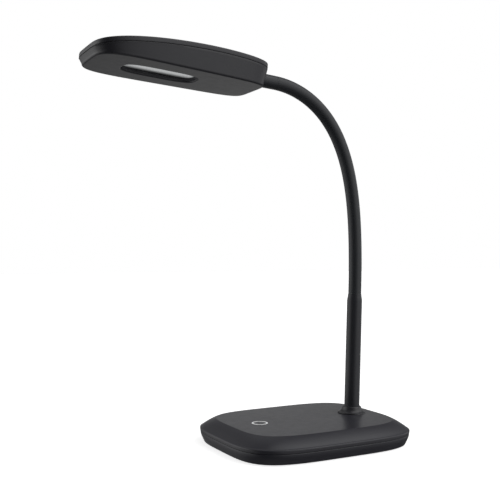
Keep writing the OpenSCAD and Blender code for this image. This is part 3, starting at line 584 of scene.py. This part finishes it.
def smooth_line(points, parts=4):
    """Adds points between the chosen ones, so that the line bends softly through them."""
    line = []
    for i in range(len(points) - 1):
        p0, p1, p2, p3 = (points[min(max(i + k, 0), len(points) - 1)] for k in (-1, 0, 1, 2))
        for j in range(parts):
            t = j / parts
            line.append(0.5 * (2 * p1 + (p2 - p0) * t + (2 * p0 - 5 * p1 + 4 * p2 - p3) * t * t
                               + (3 * p1 - 3 * p2 + p3 - p0) * t ** 3))
    return line + [points[-1]]


def wire_rings(line, radius, steps):
    """Rings along any line in space. The side direction is carried along, so it never twists."""
    side, rings = Vector((0, 1, 0)), []
    for i, point in enumerate(line):
        ahead = (line[min(i + 1, len(line) - 1)] - line[max(i - 1, 0)]).normalized()
        side = (side - side.dot(ahead) * ahead).normalized()
        other = ahead.cross(side)
        rings.append([point + radius * (math.cos(2 * math.pi * k / steps) * side
                                        + math.sin(2 * math.pi * k / steps) * other)
                      for k in range(steps)])
    return rings


on_stem = [stem_place @ Vector((x * mm, 0, z * mm)) for x, z in ((-1.2, -15.5), (0, -11), (0, 0))]
base_route = [Vector(p) * mm for p in (
    (-13.7, 8, 11.9), (-8, 8, 11.9), (29.6, 7, 11.9), (40.6, 3, 9.7), (48.6, 0.6, 6.4))] + on_stem
base_route.append(on_neck(length_of(0)[0])[0])
wire = skin("lamp_lead_base", wire_rings(smooth_line(base_route), lead_r, lead_steps))
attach(wire, "base")
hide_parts("lamp_lead")
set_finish(wire, "white_lead")
lead_pieces = [wire]
spans = [(*length_of(joint), joint) for joint in range(last)]
lead_cut, lead_gap = neck_len - 4.6 * mm, 0.7 * mm
spans += [(length_of(last)[0], lead_cut - lead_gap, None), (lead_cut, length_of(last)[1], None)]
for i, (begin, end, joint) in enumerate(spans):
    rings = wall_rings(begin, end, lead_r, lead_steps, lead_spacing)
    wire = skin(f"lamp_lead_length_{i + 1}", rings)
    if joint is None:
        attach(wire, chain[i])
    else:
        bend_with(wire)
    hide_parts("lamp_lead")
    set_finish(wire, "white_lead")
    lead_pieces.append(wire)
print("Lead pieces:", len(lead_pieces))

# %% [markdown]
# ## The head's own frame
#
# The head is a long shallow tray with a thin cover. It widens a little towards its free end, and
# the seam between tray and cover rises and bows along the head. It is easiest to draw lying flat,
# so all its rings are made in the head's own frame, with lengths from its middle and heights from
# its underside, and then placed at the end of the neck.

# %% The head's frame and rings
head_len, head_wid = 157 * mm, 73.6 * mm
neck_end_square, free_end_square = 6.4, 4.6
head_widening = 0.11
head_pitch = math.radians(4.2)
head_end_x = head_len / 2 - 0.6 * mm
neck_in_head_h = 12.4 * mm
rim_mid, rim_rise, rim_bow = 11.2 * mm, 5 * mm, 6.1 * mm
cover_edge_h, cover_crown = 4.4 * mm, 1.6 * mm
head_wall = 1.9 * mm
tray_tuck = 2.3 * mm
head_place = (
    Matrix.Translation(pivots[-1]) @ Matrix.Rotation(head_pitch, 4, "Y")
    @ Matrix.Translation((-head_end_x - head_reach, 0, -neck_in_head_h)))


def head_outline(inset):
    """The outline seen from above: a rounded rectangle that widens to the free end."""
    points = squarish(
        head_len - 2 * inset, head_wid - 2 * inset, neck_end_square, free_end_square)
    return [(x, y * (1 - head_widening * x / (head_len / 2))) for x, y in points]


def rim_height(x):
    share = x / (head_len / 2)
    return rim_mid + rim_rise * share + rim_bow * (1 - share * share)


def rim_ring(inset, rise):
    return [Vector((x, y, rim_height(x) + rise)) for x, y in head_outline(inset)]


def side_ring(share, low, low_inset):
    """A ring on the drafted side, from the underside's edge at 0 to the rim at 1."""
    return [Vector((x, y, low + (rim_height(x) - low) * share))
            for x, y in head_outline(low_inset * (1 - share))]


def crown_ring(share, rise):
    """A ring of the crowned top, which shrinks evenly to the middle of the head."""
    top = cover_edge_h + cover_crown * (1 - share * share) + rise
    return [Vector((share * x, share * y, rim_height(share * x) + top))
            for x, y in head_outline(0)]


print("Head tilt in degrees:", round(math.degrees(head_pitch), 1))

# %% [markdown]
# ## The head tray
#
# The tray's sides draw in towards the underside and end in a small radius. In the underside lies
# the long window, whose lip is rounded and whose well goes up to the diffuser. Because outline and
# window have the same number of points, one ring can run over into the other, and the whole tray
# is a single closed loop of rings: down the outside, across the underside, up the well, and back
# along the inside.

# %% Head tray
window_len, window_wid, window_square = 65.6 * mm, 27.4 * mm, 3.6
window_x, window_depth = -13.6 * mm, 4 * mm
tray_floor = 2 * mm


def window_ring(grow, height):
    outline = squarish(window_len + 2 * grow, window_wid + 2 * grow, window_square)
    return [Vector((window_x + x, y, height)) for x, y in outline]


def between(ring_a, ring_b, share):
    return [a.lerp(b, share) for a, b in zip(ring_a, ring_b)]


underside_edge = lifted(head_outline(tray_tuck + 2.3 * mm), 0)
window_edge = window_ring(1.6 * mm, 0)
inside_edge = lifted(head_outline(4.8 * mm), tray_floor)
well_edge = window_ring(1.7 * mm, tray_floor)
tray_rings = [rim_ring(0.3 * mm, 0), rim_ring(0.12 * mm, -0.08 * mm), rim_ring(0.03 * mm, -0.3 * mm)]
tray_rings += [side_ring(share, 2 * mm, tray_tuck) for share in (0.9, 0.7, 0.5, 0.3, 0.12, 0)]
tray_rings += [lifted(head_outline(tray_tuck + inset * mm), height * mm) for inset, height in (
    (0.06, 1.6), (0.2, 1.12), (0.43, 0.7), (0.75, 0.36), (1.15, 0.14), (1.6, 0.03), (2, 0))]
tray_rings += [underside_edge]
tray_rings += [between(underside_edge, window_edge, share) for share in (0.15, 0.5, 0.85)]
tray_rings += [window_edge]
tray_rings += [window_ring(grow * mm, height * mm) for grow, height in (
    (1.3, 0), (0.85, 0.09), (0.48, 0.3), (0.2, 0.62), (0.05, 1.0), (0, 1.4), (0, 2.6), (0, 4))]
tray_rings += [window_ring(1.5 * mm, window_depth), window_ring(1.5 * mm, tray_floor), well_edge]
tray_rings += [between(well_edge, inside_edge, share) for share in (0.4, 0.8)]
tray_rings += [
    inside_edge, side_ring(0.2, tray_floor, 5 * mm),
    rim_ring(2.9 * mm, -1 * mm), rim_ring(2.9 * mm, 1.3 * mm),
    rim_ring(2 * mm, 1.3 * mm), rim_ring(2 * mm, 0)]
head_tray = skin("head_tray_moulding", tray_rings, hollow=True, place=head_place)


def neck_drill(radius, near, far):
    """A drill along the neck's axis, between two places along the head."""
    way = Matrix.Translation((0, 0, neck_in_head_h)) @ Matrix.Rotation(math.pi / 2, 4, "Y")
    return turned("drill", [(radius, near), (radius, far)], head_place @ way, False)


cut_away(head_tray, neck_drill(sleeve_r + 0.2 * mm, head_end_x - 3.5 * mm, head_end_x + 8 * mm))
spreader_z = 10 * mm
ear_x, ear_y = 30 * mm, 21.6 * mm
tray_posts = [
    post(window_x + x, y, tray_floor - 0.5 * mm, spreader_z, 2.4 * mm, 1 * mm, head_place)
    for x, y in corners(ear_x, ear_y)]
clamp_x, clamp_half = head_end_x - 19.5 * mm, 5 * mm
cradle = block(
    (clamp_x - clamp_half, -13 * mm, tray_floor - 0.5 * mm),
    (clamp_x + clamp_half, 13 * mm, neck_in_head_h), head_place)
cut_away(cradle, neck_drill(4.55 * mm, clamp_x - 10 * mm, clamp_x + 10 * mm))
join_forms(head_tray, cradle, *tray_posts)
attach(head_tray, "head")
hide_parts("head_tray")
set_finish(head_tray, "head_moulding")
print("Head tray faces:", len(head_tray.data.polygons))

# %% [markdown]
# ## The head cover
#
# The cover shows as a thin band above the seam, and its top is slightly crowned, as a moulding
# has to be to look flat. Its rings shrink evenly to the middle, which keeps the crown free of
# creases.

# %% Head cover
cover_rings = [crown_ring(share, -head_wall) for share in (0.06, 0.5, 0.86)]
cover_rings += [rim_ring(head_wall, cover_edge_h - head_wall - 0.4 * mm), rim_ring(head_wall, seam_gap)]
cover_rings += [rim_ring(inset * mm, rise * mm) for inset, rise in (
    (0.35, 0.35), (0.14, 0.42), (0.05, 0.62), (0.05, 1.6))]
cover_rings += [rim_ring(inset * mm, cover_edge_h + rise * mm) for inset, rise in (
    (0.07, -1.05), (0.12, -0.7), (0.26, -0.35), (0.5, -0.1), (0.85, 0.07), (1.4, 0.15))]
cover_rings += [crown_ring(share, 0) for share in (
    0.95, 0.9, 0.84, 0.76, 0.66, 0.55, 0.43, 0.3, 0.18, 0.06)]
head_cover = skin("head_cover_moulding", cover_rings, place=head_place)
cut_away(head_cover, neck_drill(sleeve_r + 0.2 * mm, head_end_x - 3.5 * mm, head_end_x + 8 * mm))
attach(head_cover, "head")
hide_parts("head_cover")
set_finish(head_cover, "head_moulding")
print("Head cover faces:", len(head_cover.data.polygons))

# %% [markdown]
# ## The diffuser
#
# A frosted panel closes the window four millimetres inside the head. It is a plain moulded sheet
# with a soft edge. What one sees of it is mostly its finish, which comes later.

# %% Diffuser
diffuser_grow = 2 * mm
diffuser_rings = [
    window_ring(diffuser_grow - 1 * mm, window_depth),
    window_ring(diffuser_grow - 0.3 * mm, window_depth),
    window_ring(diffuser_grow, window_depth + 0.3 * mm),
    window_ring(diffuser_grow, window_depth + 1.7 * mm),
    window_ring(diffuser_grow - 0.3 * mm, window_depth + 2 * mm),
    window_ring(diffuser_grow - 1 * mm, window_depth + 2 * mm)]
diffuser = skin("diffuser_panel", diffuser_rings, place=head_place)
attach(diffuser, "head")
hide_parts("diffuser")
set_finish(diffuser, "frosted")
print("Diffuser faces:", len(diffuser.data.polygons))

# %% [markdown]
# ## How the finishes are mixed
#
# A moulding is never one flat colour. Spark-eroded moulds leave a fine grain, and thick and thin
# walls cool to slightly different shades. So each finish mixes two close tones with a slow noise,
# varies its roughness with a second one, and raises a fine bump with a third. The noises use the
# object's own coordinates, in metres, so that the grain has its true size on every piece.

# %% Finish helpers


class Finish:
    """A material under construction: its node tree and the shader that it ends in."""

    def __init__(self, name):
        self.material = bpy.data.materials.new(name)
        self.material.use_nodes = True
        self.tree = self.material.node_tree
        self.shader = self.tree.nodes["Principled BSDF"]
        self.place = self.tree.nodes.new("ShaderNodeTexCoord")

    def add(self, kind, **settings):
        node = self.tree.nodes.new(kind)
        for key, value in settings.items():
            setattr(node, key, value)
        return node

    def link(self, source, target):
        self.tree.links.new(source, target)

    def noise(self, size, detail=3.0, stretch=(1, 1, 1)):
        """A noise whose features are about as large as size, in metres."""
        spread = self.add("ShaderNodeMapping")
        spread.inputs["Scale"].default_value = stretch
        pattern = self.add("ShaderNodeTexNoise")
        pattern.inputs["Scale"].default_value = 1 / size
        pattern.inputs["Detail"].default_value = detail
        self.link(self.place.outputs["Object"], spread.inputs["Vector"])
        self.link(spread.outputs["Vector"], pattern.inputs["Vector"])
        return pattern.outputs["Fac"]

    def tones(self, factor, dark, light):
        """Mixes two tones into the shader's colour."""
        mix = self.add("ShaderNodeMix", data_type="RGBA")
        mix.inputs["A"].default_value = (*dark, 1)
        mix.inputs["B"].default_value = (*light, 1)
        self.link(factor, mix.inputs["Factor"])
        self.link(mix.outputs["Result"], self.shader.inputs["Base Color"])

    def roughness(self, factor, low, high):
        spread = self.add("ShaderNodeMapRange")
        spread.inputs["To Min"].default_value = low
        spread.inputs["To Max"].default_value = high
        self.link(factor, spread.inputs["Value"])
        self.link(spread.outputs["Result"], self.shader.inputs["Roughness"])

    def bump(self, height, depth, strength=1.0):
        raised = self.add("ShaderNodeBump")
        raised.inputs["Distance"].default_value = depth
        raised.inputs["Strength"].default_value = strength
        self.link(height, raised.inputs["Height"])
        self.link(raised.outputs["Normal"], self.shader.inputs["Normal"])


def grey(value, tint=(1, 1, 1)):
    return tuple(value * t for t in tint)


def around(colour, spread):
    return tuple(c * (1 - spread) for c in colour), tuple(c * (1 + spread) for c in colour)


def moulded(name, colour, rough, grain=0.35 * mm, depth=0.02 * mm, spread=0.05, gloss=0.5):
    """Moulded plastic or rubber, with the fine grain of its mould."""
    finish = Finish(name)
    finish.tones(finish.noise(40 * mm, 2), *around(colour, spread))
    finish.roughness(finish.noise(6 * mm, 4), rough - 0.05, rough + 0.05)
    finish.bump(finish.noise(grain, 2), depth)
    finish.shader.inputs["Specular IOR Level"].default_value = gloss
    return finish.material


def metal(name, colour, rough, brushed=(1, 1, 1), depth=0.004 * mm):
    """Bare or plated metal, with the marks of its tool drawn out along one direction."""
    finish = Finish(name)
    marks = finish.noise(0.5 * mm, 4, brushed)
    finish.tones(marks, *around(colour, 0.06))
    finish.roughness(marks, rough - 0.08, rough + 0.08)
    finish.bump(marks, depth)
    finish.shader.inputs["Metallic"].default_value = 1
    return finish.material


print("Finish helpers are ready")

# %% [markdown]
# ## Finishes of the lamp
#
# Everything that shows on this lamp is close to black, so the difference between the materials
# lies in their gloss. The mouldings are matt with a fine grain and a trace of violet, the tube is
# painted to a satin, and the sleeve is a soft rubber that only shines along its edges.

# %% Finishes
finishes = {
    "base_moulding": moulded("base_moulding", (0.0365, 0.0365, 0.045), 0.31, gloss=0.42),
    "head_moulding": moulded("head_moulding", (0.0295, 0.0295, 0.0355), 0.34, gloss=0.42),
    "collar_moulding": moulded("collar_moulding", (0.031, 0.031, 0.036), 0.33, gloss=0.45),
    "neck_sleeve": moulded(
        "neck_sleeve", (0.0315, 0.034, 0.0395), 0.43, 0.25 * mm, 0.012 * mm, gloss=0.4),
    "pad_rubber": moulded("pad_rubber", (0.02, 0.02, 0.02), 0.75, 1.2 * mm, 0.15 * mm),
    "black_parts": moulded("black_parts", (0.018, 0.018, 0.02), 0.4),
    "black_lead": moulded("black_lead", (0.02, 0.02, 0.02), 0.45),
    "white_lead": moulded("white_lead", (0.75, 0.75, 0.73), 0.4),
    "foam": moulded("foam", (0.12, 0.12, 0.12), 0.9, 0.8 * mm, 0.3 * mm),
    "bare_steel": metal("bare_steel", (0.5, 0.5, 0.51), 0.32, (1, 1, 6)),
    "plated_steel": metal("plated_steel", (0.62, 0.62, 0.63), 0.25),
    "brass_pin": metal("brass_pin", (0.7, 0.5, 0.2), 0.22, (6, 1, 1)),
    "spreader_metal": metal("spreader_metal", (0.75, 0.76, 0.77), 0.35, (1, 8, 1)),
}


def satin_paint():
    """Stoved paint on the tube: smooth, with a faint orange peel."""
    finish = Finish("satin_tube")
    finish.tones(finish.noise(30 * mm, 2), *around((0.036, 0.037, 0.043), 0.05))
    finish.roughness(finish.noise(4 * mm), 0.27, 0.33)
    finish.bump(finish.noise(1.5 * mm, 1), 0.01 * mm)
    finish.shader.inputs["Specular IOR Level"].default_value = 0.3
    return finish.material


def solder_mask(name, mask, line):
    """A circuit board: tracks under a glossy solder mask."""
    finish = Finish(name)
    tracks = finish.add("ShaderNodeTexBrick", offset=0.5)
    tracks.inputs["Scale"].default_value = 180
    tracks.inputs["Mortar Size"].default_value = 0.03
    tracks.inputs["Color1"].default_value = (*mask, 1)
    tracks.inputs["Color2"].default_value = (*grey(0.85, mask), 1)
    tracks.inputs["Mortar"].default_value = (*line, 1)
    finish.link(finish.place.outputs["Object"], tracks.inputs["Vector"])
    finish.link(tracks.outputs["Color"], finish.shader.inputs["Base Color"])
    finish.roughness(finish.noise(3 * mm), 0.25, 0.4)
    return finish.material


def light_guide():
    """Clear white plastic that shows as a bright ring, lit a little from below."""
    finish = Finish("white_guide")
    finish.tones(finish.noise(5 * mm), (0.86, 0.86, 0.86), (0.92, 0.92, 0.92))
    finish.roughness(finish.noise(2 * mm), 0.3, 0.4)
    finish.shader.inputs["Emission Color"].default_value = (1, 1, 1, 1)
    finish.shader.inputs["Emission Strength"].default_value = 0.25
    return finish.material


def lens_drop():
    """The yellow phosphor of a small lamp under its clear drop."""
    finish = Finish("led_lens")
    finish.tones(finish.noise(0.6 * mm), (0.8, 0.66, 0.2), (0.9, 0.8, 0.35))
    finish.roughness(finish.noise(1 * mm), 0.12, 0.2)
    finish.shader.inputs["Coat Weight"].default_value = 0.8
    return finish.material


finishes["satin_tube"] = satin_paint()
finishes["green_board"] = solder_mask("green_board", (0.03, 0.14, 0.06), (0.05, 0.2, 0.09))
finishes["white_board"] = solder_mask("white_board", (0.8, 0.8, 0.78), (0.72, 0.72, 0.7))
finishes["white_guide"] = light_guide()
finishes["led_lens"] = lens_drop()
print("Finishes so far:", len(finishes))

# %% [markdown]
# ## The frosted panel
#
# The panel is frosted white. Its colour holds painted shade and a painted glow. It is painted dark grey
# towards the walls of its well, where shade falls, and pale in the middle, where an emission paints the
# light that it catches from below; the lamp behind it is not lit. One share falls off along the window
# and one across it. Their product mixes the painted tones and sets the painted glow.

# %% Frosted panel


def frosted():
    finish = Finish("frosted")
    centre = head_place @ Vector((window_x, 0, window_depth))
    shift = finish.add("ShaderNodeVectorMath", operation="SUBTRACT")
    shift.inputs[1].default_value = centre
    ways = finish.add("ShaderNodeVectorMath", operation="ABSOLUTE")
    split = finish.add("ShaderNodeSeparateXYZ")
    finish.link(finish.place.outputs["Object"], shift.inputs[0])
    finish.link(shift.outputs["Vector"], ways.inputs[0])
    finish.link(ways.outputs["Vector"], split.inputs[0])
    shares = []
    for way, bright, dark in (
            ("X", window_len / 2 - 4 * mm, window_len / 2 + 1 * mm),
            ("Y", 3 * mm, window_wid / 2)):
        fall = finish.add("ShaderNodeMapRange", interpolation_type="SMOOTHSTEP")
        fall.inputs["From Min"].default_value = bright
        fall.inputs["From Max"].default_value = dark
        fall.inputs["To Min"].default_value = 1
        fall.inputs["To Max"].default_value = 0
        finish.link(split.outputs[way], fall.inputs["Value"])
        shares.append(fall.outputs["Result"])
    painted_light_share = finish.add("ShaderNodeMath", operation="MULTIPLY")
    for share, socket in zip(shares, painted_light_share.inputs):
        finish.link(share, socket)
    # Painted shade: dark grey at the walls of the well, pale in the middle.
    finish.tones(painted_light_share.outputs[0], (0.12, 0.13, 0.13), (0.84, 0.86, 0.86))
    # Painted glow: the pale middle also emits, standing in for light that the panel only catches.
    glow = finish.add("ShaderNodeMath", operation="MULTIPLY")
    glow.inputs[1].default_value = 0.3
    finish.link(painted_light_share.outputs[0], glow.inputs[0])
    finish.link(glow.outputs[0], finish.shader.inputs["Emission Strength"])
    finish.shader.inputs["Emission Color"].default_value = (0.97, 0.99, 1, 1)
    finish.roughness(finish.noise(0.8 * mm), 0.35, 0.45)
    finish.bump(finish.noise(0.3 * mm, 1), 0.01 * mm)
    return finish.material


finishes["frosted"] = frosted()

# %% [markdown]
# ## Dressing every piece
#
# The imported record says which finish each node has. New pieces carry the name of theirs, so one
# loop can dress both kinds.

# %% Put the finishes on
slot_of = {entry["node"]: entry["material_slot"] for entry in frame["record"]["subparts"]}
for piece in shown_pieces():
    slot = piece.get("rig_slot") or slot_of[piece["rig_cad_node"]]
    piece.data.materials.clear()
    piece.data.materials.append(finishes[slot])
for name, node in nodes.items():
    if node.hide_render:
        node.data.materials.clear()
        node.data.materials.append(finishes[slot_of[name]])

# %% [markdown]
# ## The studio
#
# The lamp was photographed on seamless white, and everything on it is nearly black, so its forms show
# by what they reflect. A tall softbox stands at its right and a low one at its left, with a white
# backdrop behind, a pale ceiling, paper below, and nothing near the camera. A face that looks straight
# at the camera therefore stays dark, and one that turns away gets brighter. Area lamps could stand for
# the cards. Here each card is a soft round patch of the world instead, which lights all the pieces
# evenly, however near they are. How bright each card should be was found by comparing renders under
# single cards with the photograph. The cards were then merged and rounded to the nearest tenth.

# %% The cards
wide, middling, narrow = 14, 20, 30
cards = (
    # (what it stands for, degrees from straight behind to the right, degrees up, edge, strength)
    ("ceiling", 0, 90, narrow, 0.5),
    ("tall softbox at the right, top", 115, 74, narrow, 1.2),
    ("tall softbox at the right, upper part", 90, 55, middling, 1.5),
    ("tall softbox at the right, middle", 108, 35, wide, 1.0),
    ("tall softbox at the right, foot", 120, 10, wide, 1.2),
    ("right wall behind the softbox", 65, 10, wide, 0.9),
    ("right wall, higher up", 72, 35, wide, 0.4),
    ("fill from the front right, high", 135, 55, middling, 0.4),
    ("fill from the front right", 144, 35, wide, 0.4),
    ("low softbox at the left", 270, 10, wide, 1.2),
    ("left wall behind the softbox", 300, 10, wide, 0.7),
    ("left wall, higher up", 280, 35, wide, 0.6),
    ("backdrop", 0, 10, wide, 0.4),
    ("top of the backdrop", 345, 55, middling, 0.5),
    ("paper at the right", 95, -15, wide, 0.4),
    ("paper at the front right", 144, -15, wide, 0.6),
    ("paper at the front left", 252, -15, wide, 0.6),
    ("paper at the left", 292, -15, wide, 0.6),
    ("paper behind", 0, -30, wide, 0.4),
    ("paper below", 0, -90, wide, 0.5))

world = bpy.data.worlds.new("studio_world")
bpy.context.scene.world = world
world.use_nodes = True
sky_tree = world.node_tree
sky_tree.nodes.clear()
straight_back = Vector((-to_camera.x, -to_camera.y, 0)).normalized()
to_right = Vector((straight_back.y, -straight_back.x, 0))
ray = sky_tree.nodes.new("ShaderNodeTexCoord")


def sky_math(operation, *values):
    """A maths node in the world. A value is a number or the output of another node."""
    node = sky_tree.nodes.new("ShaderNodeMath")
    node.operation = operation
    for socket, value in zip(node.inputs, values):
        if isinstance(value, bpy.types.NodeSocket):
            sky_tree.links.new(value, socket)
        else:
            socket.default_value = value
    return node.outputs[0]


def card(azimuth, height, edge, strength):
    """A patch of light: full in its own direction, and fading as the ray turns away from it."""
    azimuth, height = math.radians(azimuth), math.radians(height)
    level = straight_back * math.cos(azimuth) + to_right * math.sin(azimuth)
    near = sky_tree.nodes.new("ShaderNodeVectorMath")
    near.operation = "DOT_PRODUCT"
    near.inputs[1].default_value = level * math.cos(height) + Vector((0, 0, math.sin(height)))
    sky_tree.links.new(ray.outputs["Generated"], near.inputs[0])
    faded = sky_math("MULTIPLY_ADD", near.outputs["Value"], edge, math.log(strength) - edge)
    return sky_math("EXPONENT", faded)


glow = 0.0
for _, *setting in cards:
    glow = sky_math("ADD", card(*setting), glow)
print("Cards:", len(cards))

# %% [markdown]
# ## White paper for the camera
#
# The camera and rays through clear pieces see the world as plain white. The floor is a sheet that
# only the camera sees: for every other ray it is clear, because the cards below stand in for it.
# It still catches the lamp's shadow, and a little glow of its own lifts it to the white of the
# backdrop.

# %% World and floor
room = sky_tree.nodes.new("ShaderNodeBackground")
white = sky_tree.nodes.new("ShaderNodeBackground")
choose = sky_tree.nodes.new("ShaderNodeMixShader")
rays = sky_tree.nodes.new("ShaderNodeLightPath")
sky_end = sky_tree.nodes.new("ShaderNodeOutputWorld")
seen = sky_math("MAXIMUM", rays.outputs["Is Camera Ray"], rays.outputs["Is Transmission Ray"])
room.inputs["Color"].default_value = (1, 1, 1, 1)
white.inputs["Color"].default_value = (1, 1, 1, 1)
sky_tree.links.new(glow, room.inputs["Strength"])
sky_tree.links.new(seen, choose.inputs["Fac"])
sky_tree.links.new(room.outputs[0], choose.inputs[1])
sky_tree.links.new(white.outputs[0], choose.inputs[2])
sky_tree.links.new(choose.outputs[0], sky_end.inputs["Surface"])

reach = 6.0
floor_mesh = bpy.data.meshes.new("studio_floor")
floor_mesh.from_pydata(
    [(-reach, -reach, 0), (reach, -reach, 0), (reach, reach, 0), (-reach, reach, 0)], [],
    [(0, 1, 2, 3)])
floor = bpy.data.objects.new("studio_floor", floor_mesh)
bpy.context.scene.collection.objects.link(floor)

paper = bpy.data.materials.new("studio_paper")
paper.use_nodes = True
tree = paper.node_tree
tree.nodes.clear()
surface = tree.nodes.new("ShaderNodeOutputMaterial")
matt = tree.nodes.new("ShaderNodeBsdfDiffuse")
lift = tree.nodes.new("ShaderNodeEmission")
both = tree.nodes.new("ShaderNodeAddShader")
clear = tree.nodes.new("ShaderNodeBsdfTransparent")
pick = tree.nodes.new("ShaderNodeMixShader")
rays = tree.nodes.new("ShaderNodeLightPath")
matt.inputs["Color"].default_value = (0.8, 0.8, 0.8, 1)
lift.inputs["Strength"].default_value = 0.76
tree.links.new(matt.outputs[0], both.inputs[0])
tree.links.new(lift.outputs[0], both.inputs[1])
tree.links.new(rays.outputs["Is Camera Ray"], pick.inputs["Fac"])
tree.links.new(clear.outputs[0], pick.inputs[1])
tree.links.new(both.outputs[0], pick.inputs[2])
tree.links.new(pick.outputs[0], surface.inputs["Surface"])
floor_mesh.materials.append(paper)
bpy.context.scene.view_settings.view_transform = "Standard"
print("Floor and world are set")
